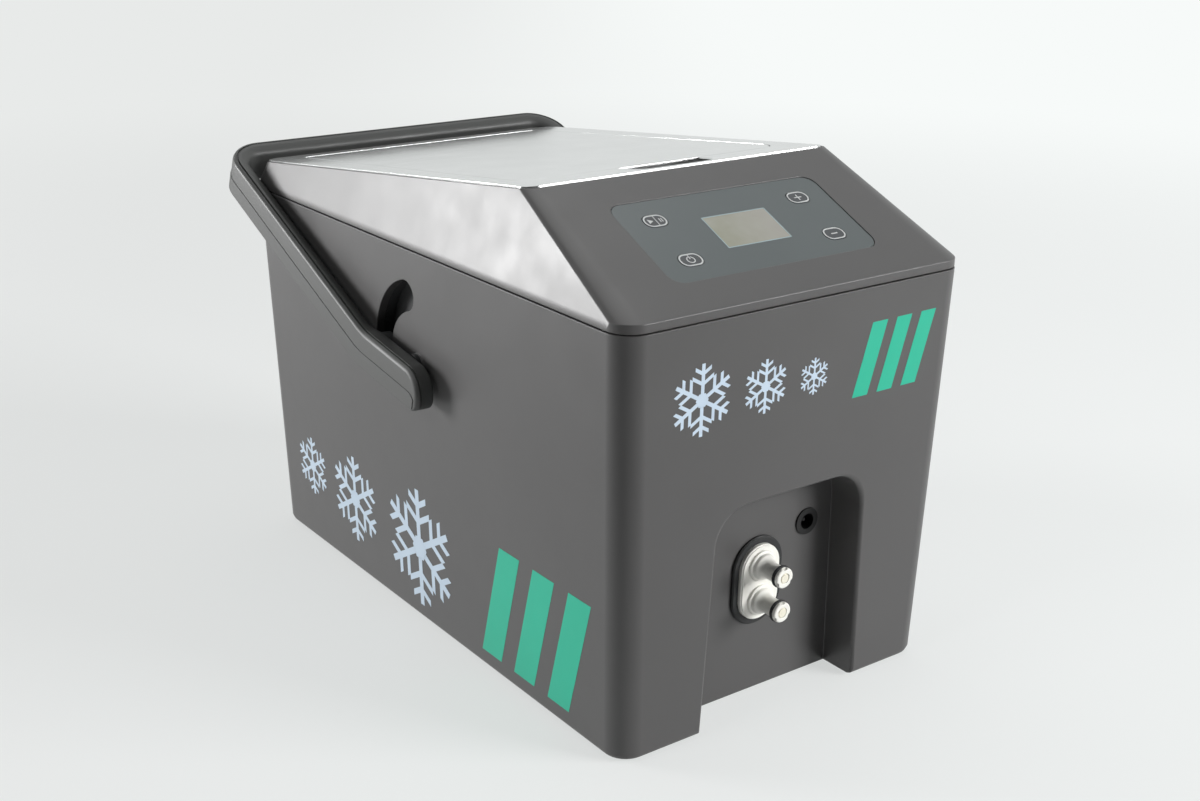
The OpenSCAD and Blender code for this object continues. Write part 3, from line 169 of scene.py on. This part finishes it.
def moulded(name, dark, light, roughness, spread, grain_mm, depth_mm, drift_mm=60):
    """A moulded surface: slow colour drift, tool grain as bump, patches of sheen."""
    material, tree, shader = new_material(name)
    place = add_node(tree, "ShaderNodeTexCoord")
    drift = add_node(tree, "ShaderNodeTexNoise", {
        "Vector": place.outputs["Object"], "Scale": per_mm(drift_mm), "Detail": 3.0})
    colour = add_node(tree, "ShaderNodeMix", {
        "Factor": drift.outputs["Fac"], "A": linear(dark), "B": linear(light)},
        data_type="RGBA")
    tree.links.new(colour.outputs["Result"], shader.inputs["Base Color"])
    patches = add_node(tree, "ShaderNodeTexNoise", {
        "Vector": place.outputs["Object"], "Scale": per_mm(drift_mm * 0.4), "Detail": 5.0})
    sheen = add_node(tree, "ShaderNodeMapRange", {
        "Value": patches.outputs["Fac"], "From Min": 0.3, "From Max": 0.7,
        "To Min": roughness - spread, "To Max": roughness + spread})
    tree.links.new(sheen.outputs["Result"], shader.inputs["Roughness"])
    grain = add_node(tree, "ShaderNodeTexVoronoi", {
        "Vector": place.outputs["Object"], "Scale": per_mm(grain_mm)}, feature="SMOOTH_F1")
    bump = add_node(tree, "ShaderNodeBump", {
        "Height": grain.outputs["Distance"], "Strength": 0.5, "Distance": depth_mm * MM})
    tree.links.new(bump.outputs["Normal"], shader.inputs["Normal"])
    return material


body_abs = moulded("textured_grey_abs", "#4C4B4B", "#515050", 0.38, 0.03, 0.45, 0.02)
handle_abs = moulded("matt_grey_handle_abs", "#414241", "#464746", 0.48, 0.04, 0.5, 0.03)
hidden_abs = moulded("dark_inner_abs", "#3A3B3C", "#424344", 0.6, 0.04, 0.8, 0.04)
silver_abs = moulded("satin_silver_lacquer", "#D9DADA", "#DEDFDF", 0.16, 0.02, 0.3, 0.002)
silver_abs.node_tree.nodes["Principled BSDF"].inputs["Metallic"].default_value = 0.85
white_acetal = moulded("white_acetal", "#E4E3DC", "#EDECE6", 0.34, 0.03, 0.6, 0.01, 15)
cream_acetal = moulded("cream_acetal", "#E0DCCB", "#E8E4D4", 0.4, 0.03, 0.6, 0.01, 8)
tank_white = moulded("white_polypropylene", "#DCDDDB", "#E6E7E5", 0.4, 0.04, 1.2, 0.02)
black_rubber = moulded("black_nitrile_rubber", "#1C1D1E", "#262728", 0.6, 0.06, 0.4, 0.02, 12)
foam_cream = moulded("cream_polyurethane_foam", "#D5CCAF", "#E0D8BE", 0.9, 0.04, 1.5, 0.3, 20)
silicone = moulded("milky_silicone", "#B8BCBC", "#C6CACA", 0.45, 0.04, 2.0, 0.02, 20)
jack_black = moulded("black_polyamide", "#0B0B0C", "#101011", 0.5, 0.05, 0.4, 0.01, 8)
film = moulded("screen_printed_film", "#4F5657", "#545B5C", 0.3, 0.02, 0.35, 0.004, 40)
key_film = moulded("embossed_key_film", "#3B3E41", "#404346", 0.34, 0.02, 0.35, 0.004, 20)
teal_ink = moulded("teal_screen_ink", "#0FA888", "#13AE8F", 0.38, 0.03, 0.4, 0.004, 40)
pale_ink = moulded("pale_blue_screen_ink", "#B6C6D6", "#BECEDC", 0.38, 0.03, 0.4, 0.004, 40)
# Painted highlight: a pale colour for the light that the display window's cut edge catches.
window_edge = moulded("painted_highlight_window_edge", "#8FA0A3", "#9FB1B5", 0.2, 0.02, 0.4, 0.002, 10)
grey_ink = moulded("light_grey_screen_ink", "#BFC2C1", "#C8CBCA", 0.4, 0.03, 0.4, 0.004, 20)
board_green = moulded("green_solder_mask", "#14452A", "#1A5232", 0.35, 0.04, 0.8, 0.02, 10)

# %% [markdown]
# ## Steel and the display
# Screws, pins and clips are turned or stamped steel. Turning leaves fine lines, drawn here as
# a noise that is stretched along one axis. The display is a liquid crystal cell, olive at the
# left and warm grey at the right, and its window has the same finish.

# %% Steel


def turned_steel():
    """Steel with fine turning marks: stretched noise drives its roughness."""
    material, tree, shader = new_material("turned_steel")
    shader.inputs["Metallic"].default_value = 1.0
    place = add_node(tree, "ShaderNodeTexCoord")
    stretch = add_node(tree, "ShaderNodeMapping", {
        "Vector": place.outputs["Object"], "Scale": (per_mm(0.3), per_mm(0.3), per_mm(6))})
    marks = add_node(tree, "ShaderNodeTexNoise", {
        "Vector": stretch.outputs["Vector"], "Scale": 1.0, "Detail": 4.0})
    tone = add_node(tree, "ShaderNodeMix", {
        "Factor": marks.outputs["Fac"], "A": linear("#A9ABAD"), "B": linear("#C3C5C6")},
        data_type="RGBA")
    tree.links.new(tone.outputs["Result"], shader.inputs["Base Color"])
    rough = add_node(tree, "ShaderNodeMapRange", {
        "Value": marks.outputs["Fac"], "To Min": 0.25, "To Max": 0.45})
    tree.links.new(rough.outputs["Result"], shader.inputs["Roughness"])
    return material


steel = turned_steel()

# %% Display window
CELL_HALF = 21 * MM


def crystal_display():
    """A blank liquid crystal cell: olive at the left, warm grey to the right, a paler haze."""
    material, tree, shader = new_material("liquid_crystal_cell")
    shader.inputs["Roughness"].default_value = 0.16
    place = add_node(tree, "ShaderNodeTexCoord")
    parts = add_node(tree, "ShaderNodeSeparateXYZ", {"Vector": place.outputs["Object"]})
    sweep = add_node(tree, "ShaderNodeMapRange", {
        "Value": parts.outputs["X"], "From Min": -CELL_HALF, "From Max": CELL_HALF})
    wash = add_node(tree, "ShaderNodeMix", {
        "Factor": sweep.outputs["Result"], "A": linear("#85866F"), "B": linear("#9C9892")},
        data_type="RGBA")
    haze = add_node(tree, "ShaderNodeTexNoise", {
        "Vector": place.outputs["Object"], "Scale": per_mm(14), "Detail": 2.0})
    blend = add_node(tree, "ShaderNodeMix", {
        "Factor": haze.outputs["Fac"], "A": wash.outputs["Result"], "B": linear("#A3A39A")},
        data_type="RGBA")
    tree.links.new(blend.outputs["Result"], shader.inputs["Base Color"])
    return material


cell = crystal_display()

# %% [markdown]
# ## From a CAD node to a moulding
# A CAD node has perfectly sharp edges. A real moulding has a small radius on every edge, and
# that radius is what catches the light. A copy of the node's mesh is merged, its flat faces
# are joined, a bevel rounds its sharp edges, and weighted normals keep the flats flat.

# %% Helpers for pieces


def deselect():
    for item in bpy.context.selected_objects:
        item.select_set(False)


def apply_modifiers(piece):
    """Applies every modifier of a piece, from the first to the last."""
    deselect()
    piece.select_set(True)
    bpy.context.view_layer.objects.active = piece
    for modifier in list(piece.modifiers):
        bpy.ops.object.modifier_apply(modifier=modifier.name)


def smooth(piece, degrees=30):
    """Smooth shading over gentle edges, with the flats kept flat."""
    deselect()
    piece.select_set(True)
    bpy.context.view_layer.objects.active = piece
    bpy.ops.object.shade_smooth_by_angle(angle=math.radians(degrees))
    piece.modifiers.new("flats", "WEIGHTED_NORMAL").keep_sharp = True
    apply_modifiers(piece)


def belongs(piece, body, slot, material, *nodes):
    """Gives a piece its finish, the body it moves with and the nodes it stands for."""
    piece.data.materials.clear()
    piece.data.materials.append(material)
    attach(piece, body)
    if nodes:
        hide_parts(*nodes)


def moulding(node, name, body, slot, material, radius_mm=0.4, segments=3, limit=30):
    """A rounded copy of a CAD node that stands for it. A radius of 0 leaves its edges."""
    mesh = frame["nodes"][node].data.copy()
    piece = bpy.data.objects.new(name, mesh)
    bpy.context.scene.collection.objects.link(piece)
    deselect()
    piece.select_set(True)
    bpy.context.view_layer.objects.active = piece
    bpy.ops.mesh.customdata_custom_splitnormals_clear()
    bpy.ops.object.mode_set(mode="EDIT")
    bpy.ops.mesh.select_all(action="SELECT")
    bpy.ops.mesh.remove_doubles(threshold=0.01 * MM)
    bpy.ops.mesh.dissolve_limited(angle_limit=math.radians(0.4))
    bpy.ops.object.mode_set(mode="OBJECT")
    if radius_mm:
        rounding = piece.modifiers.new("edges", "BEVEL")
        rounding.width = radius_mm * MM
        rounding.segments = segments
        rounding.limit_method = "ANGLE"
        rounding.angle_limit = math.radians(limit)
        rounding.use_clamp_overlap = False
        apply_modifiers(piece)
    smooth(piece)
    belongs(piece, body, slot, material, node)
    print(name, len(piece.data.polygons), "faces")
    return piece


# %% [markdown]
# ## The mouldings
# The lower body and the top shell meet along the dark parting line. The silver plate, the lid
# and the handle are separate mouldings too.

# %% Dress the mouldings
moulding("main_shell", "body_shell", "machine", "body_grey", body_abs, 0.5)
moulding("upper_shell", "top_shell", "machine", "body_grey", body_abs, 0.4)
moulding("lid_frame", "top_plate", "machine", "silver_plastic", silver_abs, 0.12, 2, 60)
moulding("lid", "lid_panel", "lid_body", "silver_plastic", silver_abs, 0.35)
moulding("handle", "carry_handle", "handle_body", "body_grey", handle_abs, 0)
moulding("coupling_body", "nozzle_pair", "machine", "white_plastic", white_acetal, 0.3)
moulding("coupling_gasket", "nozzle_gasket", "machine", "rubber", black_rubber, 0.3)
moulding("control_overlay", "panel_film", "machine", "overlay", film, 0.12)
for key in ("play", "power", "plus", "minus"):
    moulding("key_" + key, key + "_cap", key + "_body", "key", key_film, 0.12)

# %% [markdown]
# ## Printing
# The key rings, their signs and the decorations on the walls are screen printed: a film of ink
# some hundredths of a millimetre thick. An image on the surface would blur close up, so each
# print is a real thin sheet. Flat shapes are made about the origin, joined, given the ink's
# thickness, and then laid on their plane.

# %% Helpers for flat shapes
INK = 0.05 * MM


def edit(piece):
    """Makes a piece the only selected one and opens its mesh with everything selected."""
    deselect()
    piece.select_set(True)
    bpy.context.view_layer.objects.active = piece
    bpy.ops.object.mode_set(mode="EDIT")
    bpy.ops.mesh.select_all(action="SELECT")


def pick(piece, kind, test):
    """Selects only the edges or faces of the open mesh whose middle passes the test."""
    bpy.ops.mesh.select_mode(type=kind)
    bpy.ops.mesh.select_all(action="DESELECT")
    bpy.ops.object.mode_set(mode="OBJECT")
    mesh = piece.data
    for item in (mesh.edges if kind == "EDGE" else mesh.polygons):
        middle = sum((mesh.vertices[v].co for v in item.vertices), Vector()) / len(item.vertices)
        item.select = test(middle)
    bpy.ops.object.mode_set(mode="EDIT")


def tile(x, y, width, length, corner=0.0, lean=0.0):
    """A flat plate with round corners, or one whose top is moved sideways."""
    deselect()
    bpy.ops.mesh.primitive_plane_add(size=1, location=(x, y, 0))
    piece = bpy.context.object
    piece.scale = (width, length, 1)
    bpy.ops.object.transform_apply(location=True, rotation=True, scale=True)
    edit(piece)
    if corner:
        bpy.ops.mesh.bevel(offset=corner, segments=8, affect="VERTICES")
    if lean:
        pick(piece, "EDGE", lambda middle: middle.y > y + length * 0.4)
        bpy.ops.transform.translate(value=(lean, 0, 0))
    bpy.ops.object.mode_set(mode="OBJECT")
    return piece


def ring(x, y, width, length, corner, line):
    """The outline of a round-cornered plate."""
    piece = tile(x, y, width, length, corner)
    edit(piece)
    bpy.ops.mesh.inset(thickness=line, depth=0)
    bpy.ops.mesh.delete(type="FACE")
    bpy.ops.object.mode_set(mode="OBJECT")
    return piece


def lay(name, shapes, plane, x, y, height, body, slot, material, thickness=INK):
    """Joins flat shapes, thickens them and lays them on a plane at a height."""
    deselect()
    for shape in shapes:
        shape.select_set(True)
    bpy.context.view_layer.objects.active = shapes[0]
    if len(shapes) > 1:
        bpy.ops.object.join()
    piece = bpy.context.object
    piece.name = name
    film_up = piece.modifiers.new("film", "SOLIDIFY")
    film_up.thickness = thickness
    film_up.offset = 1
    apply_modifiers(piece)
    piece.matrix_world = plane @ Matrix.Translation((x, y, height))
    bpy.ops.object.transform_apply(location=True, rotation=True, scale=True)
    belongs(piece, body, slot, material)
    print(name, len(piece.data.polygons), "faces")
    return piece


def surface_height(node, plane):
    """How far a node's outermost face stands out of a plane."""
    back_to_plane = plane.inverted()
    return max((back_to_plane @ v.co).z for v in frame["nodes"][node].data.vertices)


# %% [markdown]
# ## Key signs
# Every key has a light grey ring near its edge and a sign inside: play and pause, power, plus
# and minus. The signs are made of bars. The power sign is a circle that is inset to a ring and
# opened at its top, where its stem goes.

# %% Signs
KEY_X = OVERLAY_HALF - 20.5 * MM
KEY_ROWS = {"upper": OVERLAY_LOW + 47.5 * MM, "lower": OVERLAY_LOW + 15.2 * MM}
KEY_W = 14.1 * MM
KEY_L = 9.6 * MM
RING_INSET = 0.5 * MM
RING_CORNER = 4.3 * MM
RING_LINE = 0.85 * MM
SIGN_LIFT = 0.01 * MM


def triangle(x, y, size):
    """A three-sided plate that points to the right."""
    deselect()
    bpy.ops.mesh.primitive_circle_add(vertices=3, radius=size, fill_type="NGON",
                                      location=(x, y, 0), rotation=(0, 0, -math.pi / 2))
    bpy.ops.object.transform_apply(location=True, rotation=True, scale=True)
    return bpy.context.object


def power_arc(radius, line):
    """A ring that is open at its top."""
    deselect()
    bpy.ops.mesh.primitive_circle_add(vertices=36, radius=radius, fill_type="NGON")
    piece = bpy.context.object
    edit(piece)
    bpy.ops.mesh.inset(thickness=line, depth=0)
    bpy.ops.mesh.delete(type="FACE")
    pick(piece, "FACE", lambda middle: middle.y > radius * 0.8)
    bpy.ops.mesh.delete(type="FACE")
    bpy.ops.object.mode_set(mode="OBJECT")
    return piece


SIGNS = {
    "play": ("upper", -1, lambda: [
        triangle(-3.2 * MM, 0, 2.0 * MM), tile(0.6 * MM, 0, 0.45 * MM, 8 * MM),
        tile(3.0 * MM, 0, 0.55 * MM, 2.9 * MM), tile(4.3 * MM, 0, 0.55 * MM, 2.9 * MM)]),
    "power": ("lower", -1, lambda: [
        power_arc(2.5 * MM, 0.6 * MM), tile(0, 2.0 * MM, 0.6 * MM, 2.8 * MM)]),
    "plus": ("upper", 1, lambda: [
        tile(0, 0, 0.7 * MM, 4.6 * MM), tile(-1.475 * MM, 0, 2.25 * MM, 0.7 * MM),
        tile(1.475 * MM, 0, 2.25 * MM, 0.7 * MM)]),
    "minus": ("lower", 1, lambda: [tile(0, 0, 4.4 * MM, 0.8 * MM)])}
for key, (row, side, shapes) in SIGNS.items():
    outline = ring(0, 0, KEY_W - RING_INSET, KEY_L - RING_INSET, RING_CORNER, RING_LINE)
    lay(key + "_sign", [outline] + shapes(), PANEL, side * KEY_X, KEY_ROWS[row],
        surface_height("key_" + key, PANEL) + SIGN_LIFT, key + "_body", "key", grey_ink)

# %% [markdown]
# ## Painted highlight on the display window's edge
# The clear window's cut edge catches the light as a pale line round the display. That light is
# painted: a thin ring of pale colour let into the film.

# %% Window edge: a painted highlight
WINDOW_W = 42.3 * MM
WINDOW_L = 25 * MM
WINDOW_MIDDLE = OVERLAY_LOW + 31.3 * MM
EDGE_W = 0.6 * MM
EDGE_LINE = 0.65 * MM
EDGE_SUNK = 0.02 * MM
EDGE_THICK = 0.06 * MM
# A ring of pale colour as a painted highlight round the display window.
lay("window_edge", [ring(0, 0, WINDOW_W + EDGE_W, WINDOW_L + EDGE_W, EDGE_W, EDGE_LINE)],
    PANEL, 0, WINDOW_MIDDLE, surface_height("control_overlay", PANEL) - EDGE_SUNK,
    "machine", "lens", window_edge, EDGE_THICK)

# %% [markdown]
# ## Decoration on the walls
# The walls carry large prints in pale blue and teal. Here they are snow crystals and slanting
# stripes. One arm of a crystal is extruded edge by edge from a small plate, and spinning it
# with copies makes the other five, so all arms are alike.

# %% Crystals and stripes


def crystal(x, y, radius):
    """A flat snow crystal: a hexagonal hub and six arms with two pairs of branches."""
    line = radius * 0.11
    hub = radius * 0.17
    deselect()
    bpy.ops.mesh.primitive_plane_add(size=line, location=(0, hub + line / 2, 0))
    bpy.ops.object.transform_apply(location=True, rotation=True, scale=True)
    arm = bpy.context.object
    edit(arm)
    levels = [hub + line, radius * 0.42, radius * 0.42 + line, radius * 0.7,
              radius * 0.7 + line, radius]
    for low, high in zip(levels, levels[1:]):
        pick(arm, "EDGE", lambda middle: middle.y > low - line * 0.1)
        bpy.ops.mesh.extrude_edges_move(TRANSFORM_OT_translate={"value": (0, high - low, 0)})
    for low, reach in ((levels[1], radius * 0.34), (levels[3], radius * 0.24)):
        for way in (-1, 1):
            pick(arm, "EDGE", lambda middle: middle.x * way > line * 0.45
                 and middle.x * way < line * 0.55 and low < middle.y < low + line)
            bpy.ops.mesh.extrude_edges_move(TRANSFORM_OT_translate={"value": (
                way * reach * math.sin(math.pi / 3), reach * math.cos(math.pi / 3), 0)})
    bpy.ops.mesh.select_all(action="SELECT")
    bpy.ops.mesh.spin(steps=5, dupli=True, angle=math.radians(300), center=(0, 0, 0),
                      axis=(0, 0, 1))
    bpy.ops.object.mode_set(mode="OBJECT")
    deselect()
    bpy.ops.mesh.primitive_circle_add(vertices=6, radius=hub * 1.25, fill_type="NGON",
                                      rotation=(0, 0, math.pi / 6))
    arm.select_set(True)
    bpy.context.view_layer.objects.active = arm
    bpy.ops.object.join()
    arm.location = (x, y, 0)
    bpy.ops.object.transform_apply(location=True, rotation=True, scale=True)
    edit(arm)
    bpy.ops.mesh.normals_make_consistent(inside=False)
    bpy.ops.object.mode_set(mode="OBJECT")
    return arm


def stripes(x, y, width, length, lean, step, count):
    """Parallel slanting stripes, the first one's middle at x and y."""
    return [tile(x + step * n, y, width, length, lean=lean) for n in range(count)]


# %% Lay the decorations
slope = math.atan(DRAFT)
LEFT_WALL = Matrix.Translation((-BODY_HALF + DRAFT * SEAM_Z, FRONT_Y, 0)) @ Matrix((
    (0, -math.sin(slope), -math.cos(slope)), (-1, 0, 0),
    (0, math.cos(slope), -math.sin(slope)))).to_4x4()
FRONT_WALL = Matrix.Translation((0, FRONT_Y + DRAFT * SEAM_Z, 0)) @ Matrix((
    (1, 0, 0), (0, -math.sin(slope), -math.cos(slope)),
    (0, math.cos(slope), -math.sin(slope)))).to_4x4()
LIFT = 0.03 * MM
lay("left_crystals", [
    crystal(-205 * MM, 49 * MM, 38 * MM), crystal(-286 * MM, 52 * MM, 29 * MM),
    crystal(-345 * MM, 55 * MM, 20 * MM)], LEFT_WALL, 0, 0, LIFT, "machine", "body_grey", pale_ink)
lay("left_stripes", stripes(-127 * MM, 48 * MM, 20 * MM, 72 * MM, 22 * MM, 33 * MM, 3),
    LEFT_WALL, 0, 0, LIFT, "machine", "body_grey", teal_ink)
lay("front_crystals", [
    crystal(-66 * MM, 194 * MM, 19 * MM), crystal(-25 * MM, 193 * MM, 14.5 * MM),
    crystal(8 * MM, 192 * MM, 10 * MM)], FRONT_WALL, 0, 0, LIFT, "machine", "body_grey", pale_ink)
lay("front_stripes", stripes(42 * MM, 194 * MM, 11 * MM, 40 * MM, 11 * MM, 18 * MM, 3),
    FRONT_WALL, 0, 0, LIFT, "machine", "body_grey", teal_ink)

# %% [markdown]
# ## Finishes for the other nodes
# The nodes that no piece stands for, inside and out, keep their CAD shape and take the finish
# of their material slot. Nodes that a piece stands for get one too, but they are hidden.

# %% Dress the other nodes
FINISHES = {
    "body_grey": body_abs, "dark_plastic": hidden_abs, "silver_plastic": silver_abs,
    "white_plastic": tank_white, "poppet_plastic": cream_acetal, "rubber": black_rubber,
    "steel": steel, "foam": foam_cream, "overlay": film, "key": key_film, "lens": cell,
    "display": cell, "circuit_board": board_green, "hose": silicone}
for row in frame["record"]["subparts"]:
    mesh = frame["nodes"][row["node"]].data
    mesh.materials.clear()
    mesh.materials.append(jack_black if row["node"] == "dc_jack"
                          else FINISHES[row["material_slot"]])

# %% [markdown]
# ## Floor
# The machine stands on a pale paper sweep. The camera sees mostly a glow with painted light,
# brighter to the right, with a part of the real shading, which keeps the machine's shadow. A
# glossy surface sees the glow fade towards the camera's side: a painted reflection of a darker
# studio.

# %% Floor
TO_CAMERA = Vector((EYE.x, EYE.y, 0)).normalized()
ACROSS = Vector((-TO_CAMERA.y, TO_CAMERA.x, 0))
bpy.ops.mesh.primitive_plane_add(size=24, location=(0, 0, 0))
floor = bpy.context.object
floor.name = "floor"
floor_material, floor_tree, floor_shader = new_material("pale_paper")
floor_shader.inputs["Roughness"].default_value = 0.8
floor_place = add_node(floor_tree, "ShaderNodeTexCoord")
fibres = add_node(floor_tree, "ShaderNodeTexNoise", {
    "Vector": floor_place.outputs["Object"], "Scale": 3.0, "Detail": 2.0})
paper = add_node(floor_tree, "ShaderNodeMix", {
    "Factor": fibres.outputs["Fac"], "A": linear("#EDEFEF"), "B": linear("#F2F3F3")},
    data_type="RGBA")
floor_tree.links.new(paper.outputs["Result"], floor_shader.inputs["Base Color"])


def along(tree, vector, direction, low, high, at_low, at_high):
    """A value that goes from at_low to at_high as a position moves along a direction."""
    far = add_node(tree, "ShaderNodeVectorMath", {0: vector, 1: tuple(direction)},
                   operation="DOT_PRODUCT")
    return add_node(tree, "ShaderNodeMapRange", {
        "Value": far.outputs["Value"], "From Min": low, "From Max": high,
        "To Min": at_low, "To Max": at_high}, interpolation_type="SMOOTHSTEP").outputs["Result"]


floor_at = floor_place.outputs["Object"]
# Painted light: the glow is darker at the left and brighter to the right.
tone = add_node(floor_tree, "ShaderNodeMix", {
    "Factor": along(floor_tree, floor_at, ACROSS, -0.6, 0.5, 0.0, 1.0),
    "A": linear("#E8EAE9"), "B": linear("#F7FAF9")}, data_type="RGBA")
path = add_node(floor_tree, "ShaderNodeLightPath")
# Painted reflection: glossy rays see the glow fade towards the camera's side.
level = add_node(floor_tree, "ShaderNodeMix", {
    "Factor": path.outputs["Is Glossy Ray"], "A": 1.0,
    "B": along(floor_tree, floor_at, TO_CAMERA, 0.1, 0.65, 0.85, 0.05)}, data_type="FLOAT")
glow = add_node(floor_tree, "ShaderNodeEmission", {
    "Color": tone.outputs["Result"], "Strength": level.outputs["Result"]})
distance = add_node(floor_tree, "ShaderNodeVectorMath", {0: floor_at}, operation="LENGTH")
share = add_node(floor_tree, "ShaderNodeMapRange", {
    "Value": distance.outputs["Value"], "From Min": 0.6, "From Max": 2.0,
    "To Min": 0.65, "To Max": 1.0}, interpolation_type="SMOOTHSTEP")
direct = add_node(floor_tree, "ShaderNodeMath", {
    0: path.outputs["Is Camera Ray"], 1: share.outputs["Result"]}, operation="MULTIPLY")
mirrored = add_node(floor_tree, "ShaderNodeMath", {
    0: path.outputs["Is Glossy Ray"], 1: 0.9, 2: direct.outputs["Value"]},
    operation="MULTIPLY_ADD")
through = add_node(floor_tree, "ShaderNodeMath", {
    0: path.outputs["Is Transmission Ray"], 1: 0.65, 2: mirrored.outputs["Value"]},
    operation="MULTIPLY_ADD")
blend = add_node(floor_tree, "ShaderNodeMixShader", {
    "Fac": through.outputs["Value"], 1: floor_shader.outputs["BSDF"], 2: glow.outputs["Emission"]})
floor_tree.links.new(blend.outputs["Shader"],
                     floor_tree.nodes["Material Output"].inputs["Surface"])
floor.data.materials.append(floor_material)

# %% [markdown]
# ## Lamps
# The handle's shadow falls forwards on the wall, so the main lamp is low, behind and to the
# left. A second one at the front right lights the front wall. The corner between them stays
# dark. A small lamp high on the left draws the bright band on the panel's slanting edge.

# %% Lamps


def soft_lamp(name, place, target, size, power):
    """A large square lamp that looks at a point."""
    data = bpy.data.lights.new(name, "AREA")
    data.shape = "SQUARE"
    data.size = size
    data.energy = power
    lamp = bpy.data.objects.new(name, data)
    bpy.context.scene.collection.objects.link(lamp)
    lamp.location = place
    aim = Vector(target) - Vector(place)
    lamp.rotation_euler = aim.to_track_quat("-Z", "Y").to_euler()
    return lamp


soft_lamp("lamp_rear_left", (-1.7, 1.75, 0.42), (-0.1, 0, 0.16), 0.75, 54)
soft_lamp("lamp_front_right", (1.5, -2.1, 0.9), (0, -0.1, 0.14), 1.2, 76)
soft_lamp("lamp_top", (0.3, 0.5, 2.6), (0, 0, 0.2), 2.0, 17)
soft_lamp("lamp_high_left", (-1.9, -0.2, 1.6), (0, 0, 0.25), 0.8, 9)

# %% [markdown]
# ## Surroundings
# The world is a bright backdrop behind and beside the machine that darkens towards the camera.
# Glossy surfaces see it at its full level, and as a soft fill light it is weak.

# %% World
world = bpy.data.worlds.new("studio")
bpy.context.scene.world = world
world.use_nodes = True
world_tree = world.node_tree
world_place = add_node(world_tree, "ShaderNodeTexCoord")
world_path = add_node(world_tree, "ShaderNodeLightPath")
seen = add_node(world_tree, "ShaderNodeMath", {
    0: world_path.outputs["Is Camera Ray"], 1: world_path.outputs["Is Glossy Ray"]},
    operation="MAXIMUM")
seen_through = add_node(world_tree, "ShaderNodeMath", {
    0: seen.outputs["Value"], 1: world_path.outputs["Is Transmission Ray"]},
    operation="MAXIMUM")
strength = add_node(world_tree, "ShaderNodeMix", {
    "Factor": seen_through.outputs["Value"],
    "A": along(world_tree, world_place.outputs["Generated"], TO_CAMERA, -0.4, 0.3, 0.14, 0.03),
    "B": along(world_tree, world_place.outputs["Generated"], TO_CAMERA, -0.4, 0.3, 0.9, 0.06)},
    data_type="FLOAT")
backdrop = world_tree.nodes["Background"]
backdrop.inputs["Color"].default_value = linear("#F4F7F6")
world_tree.links.new(strength.outputs["Result"], backdrop.inputs["Strength"])
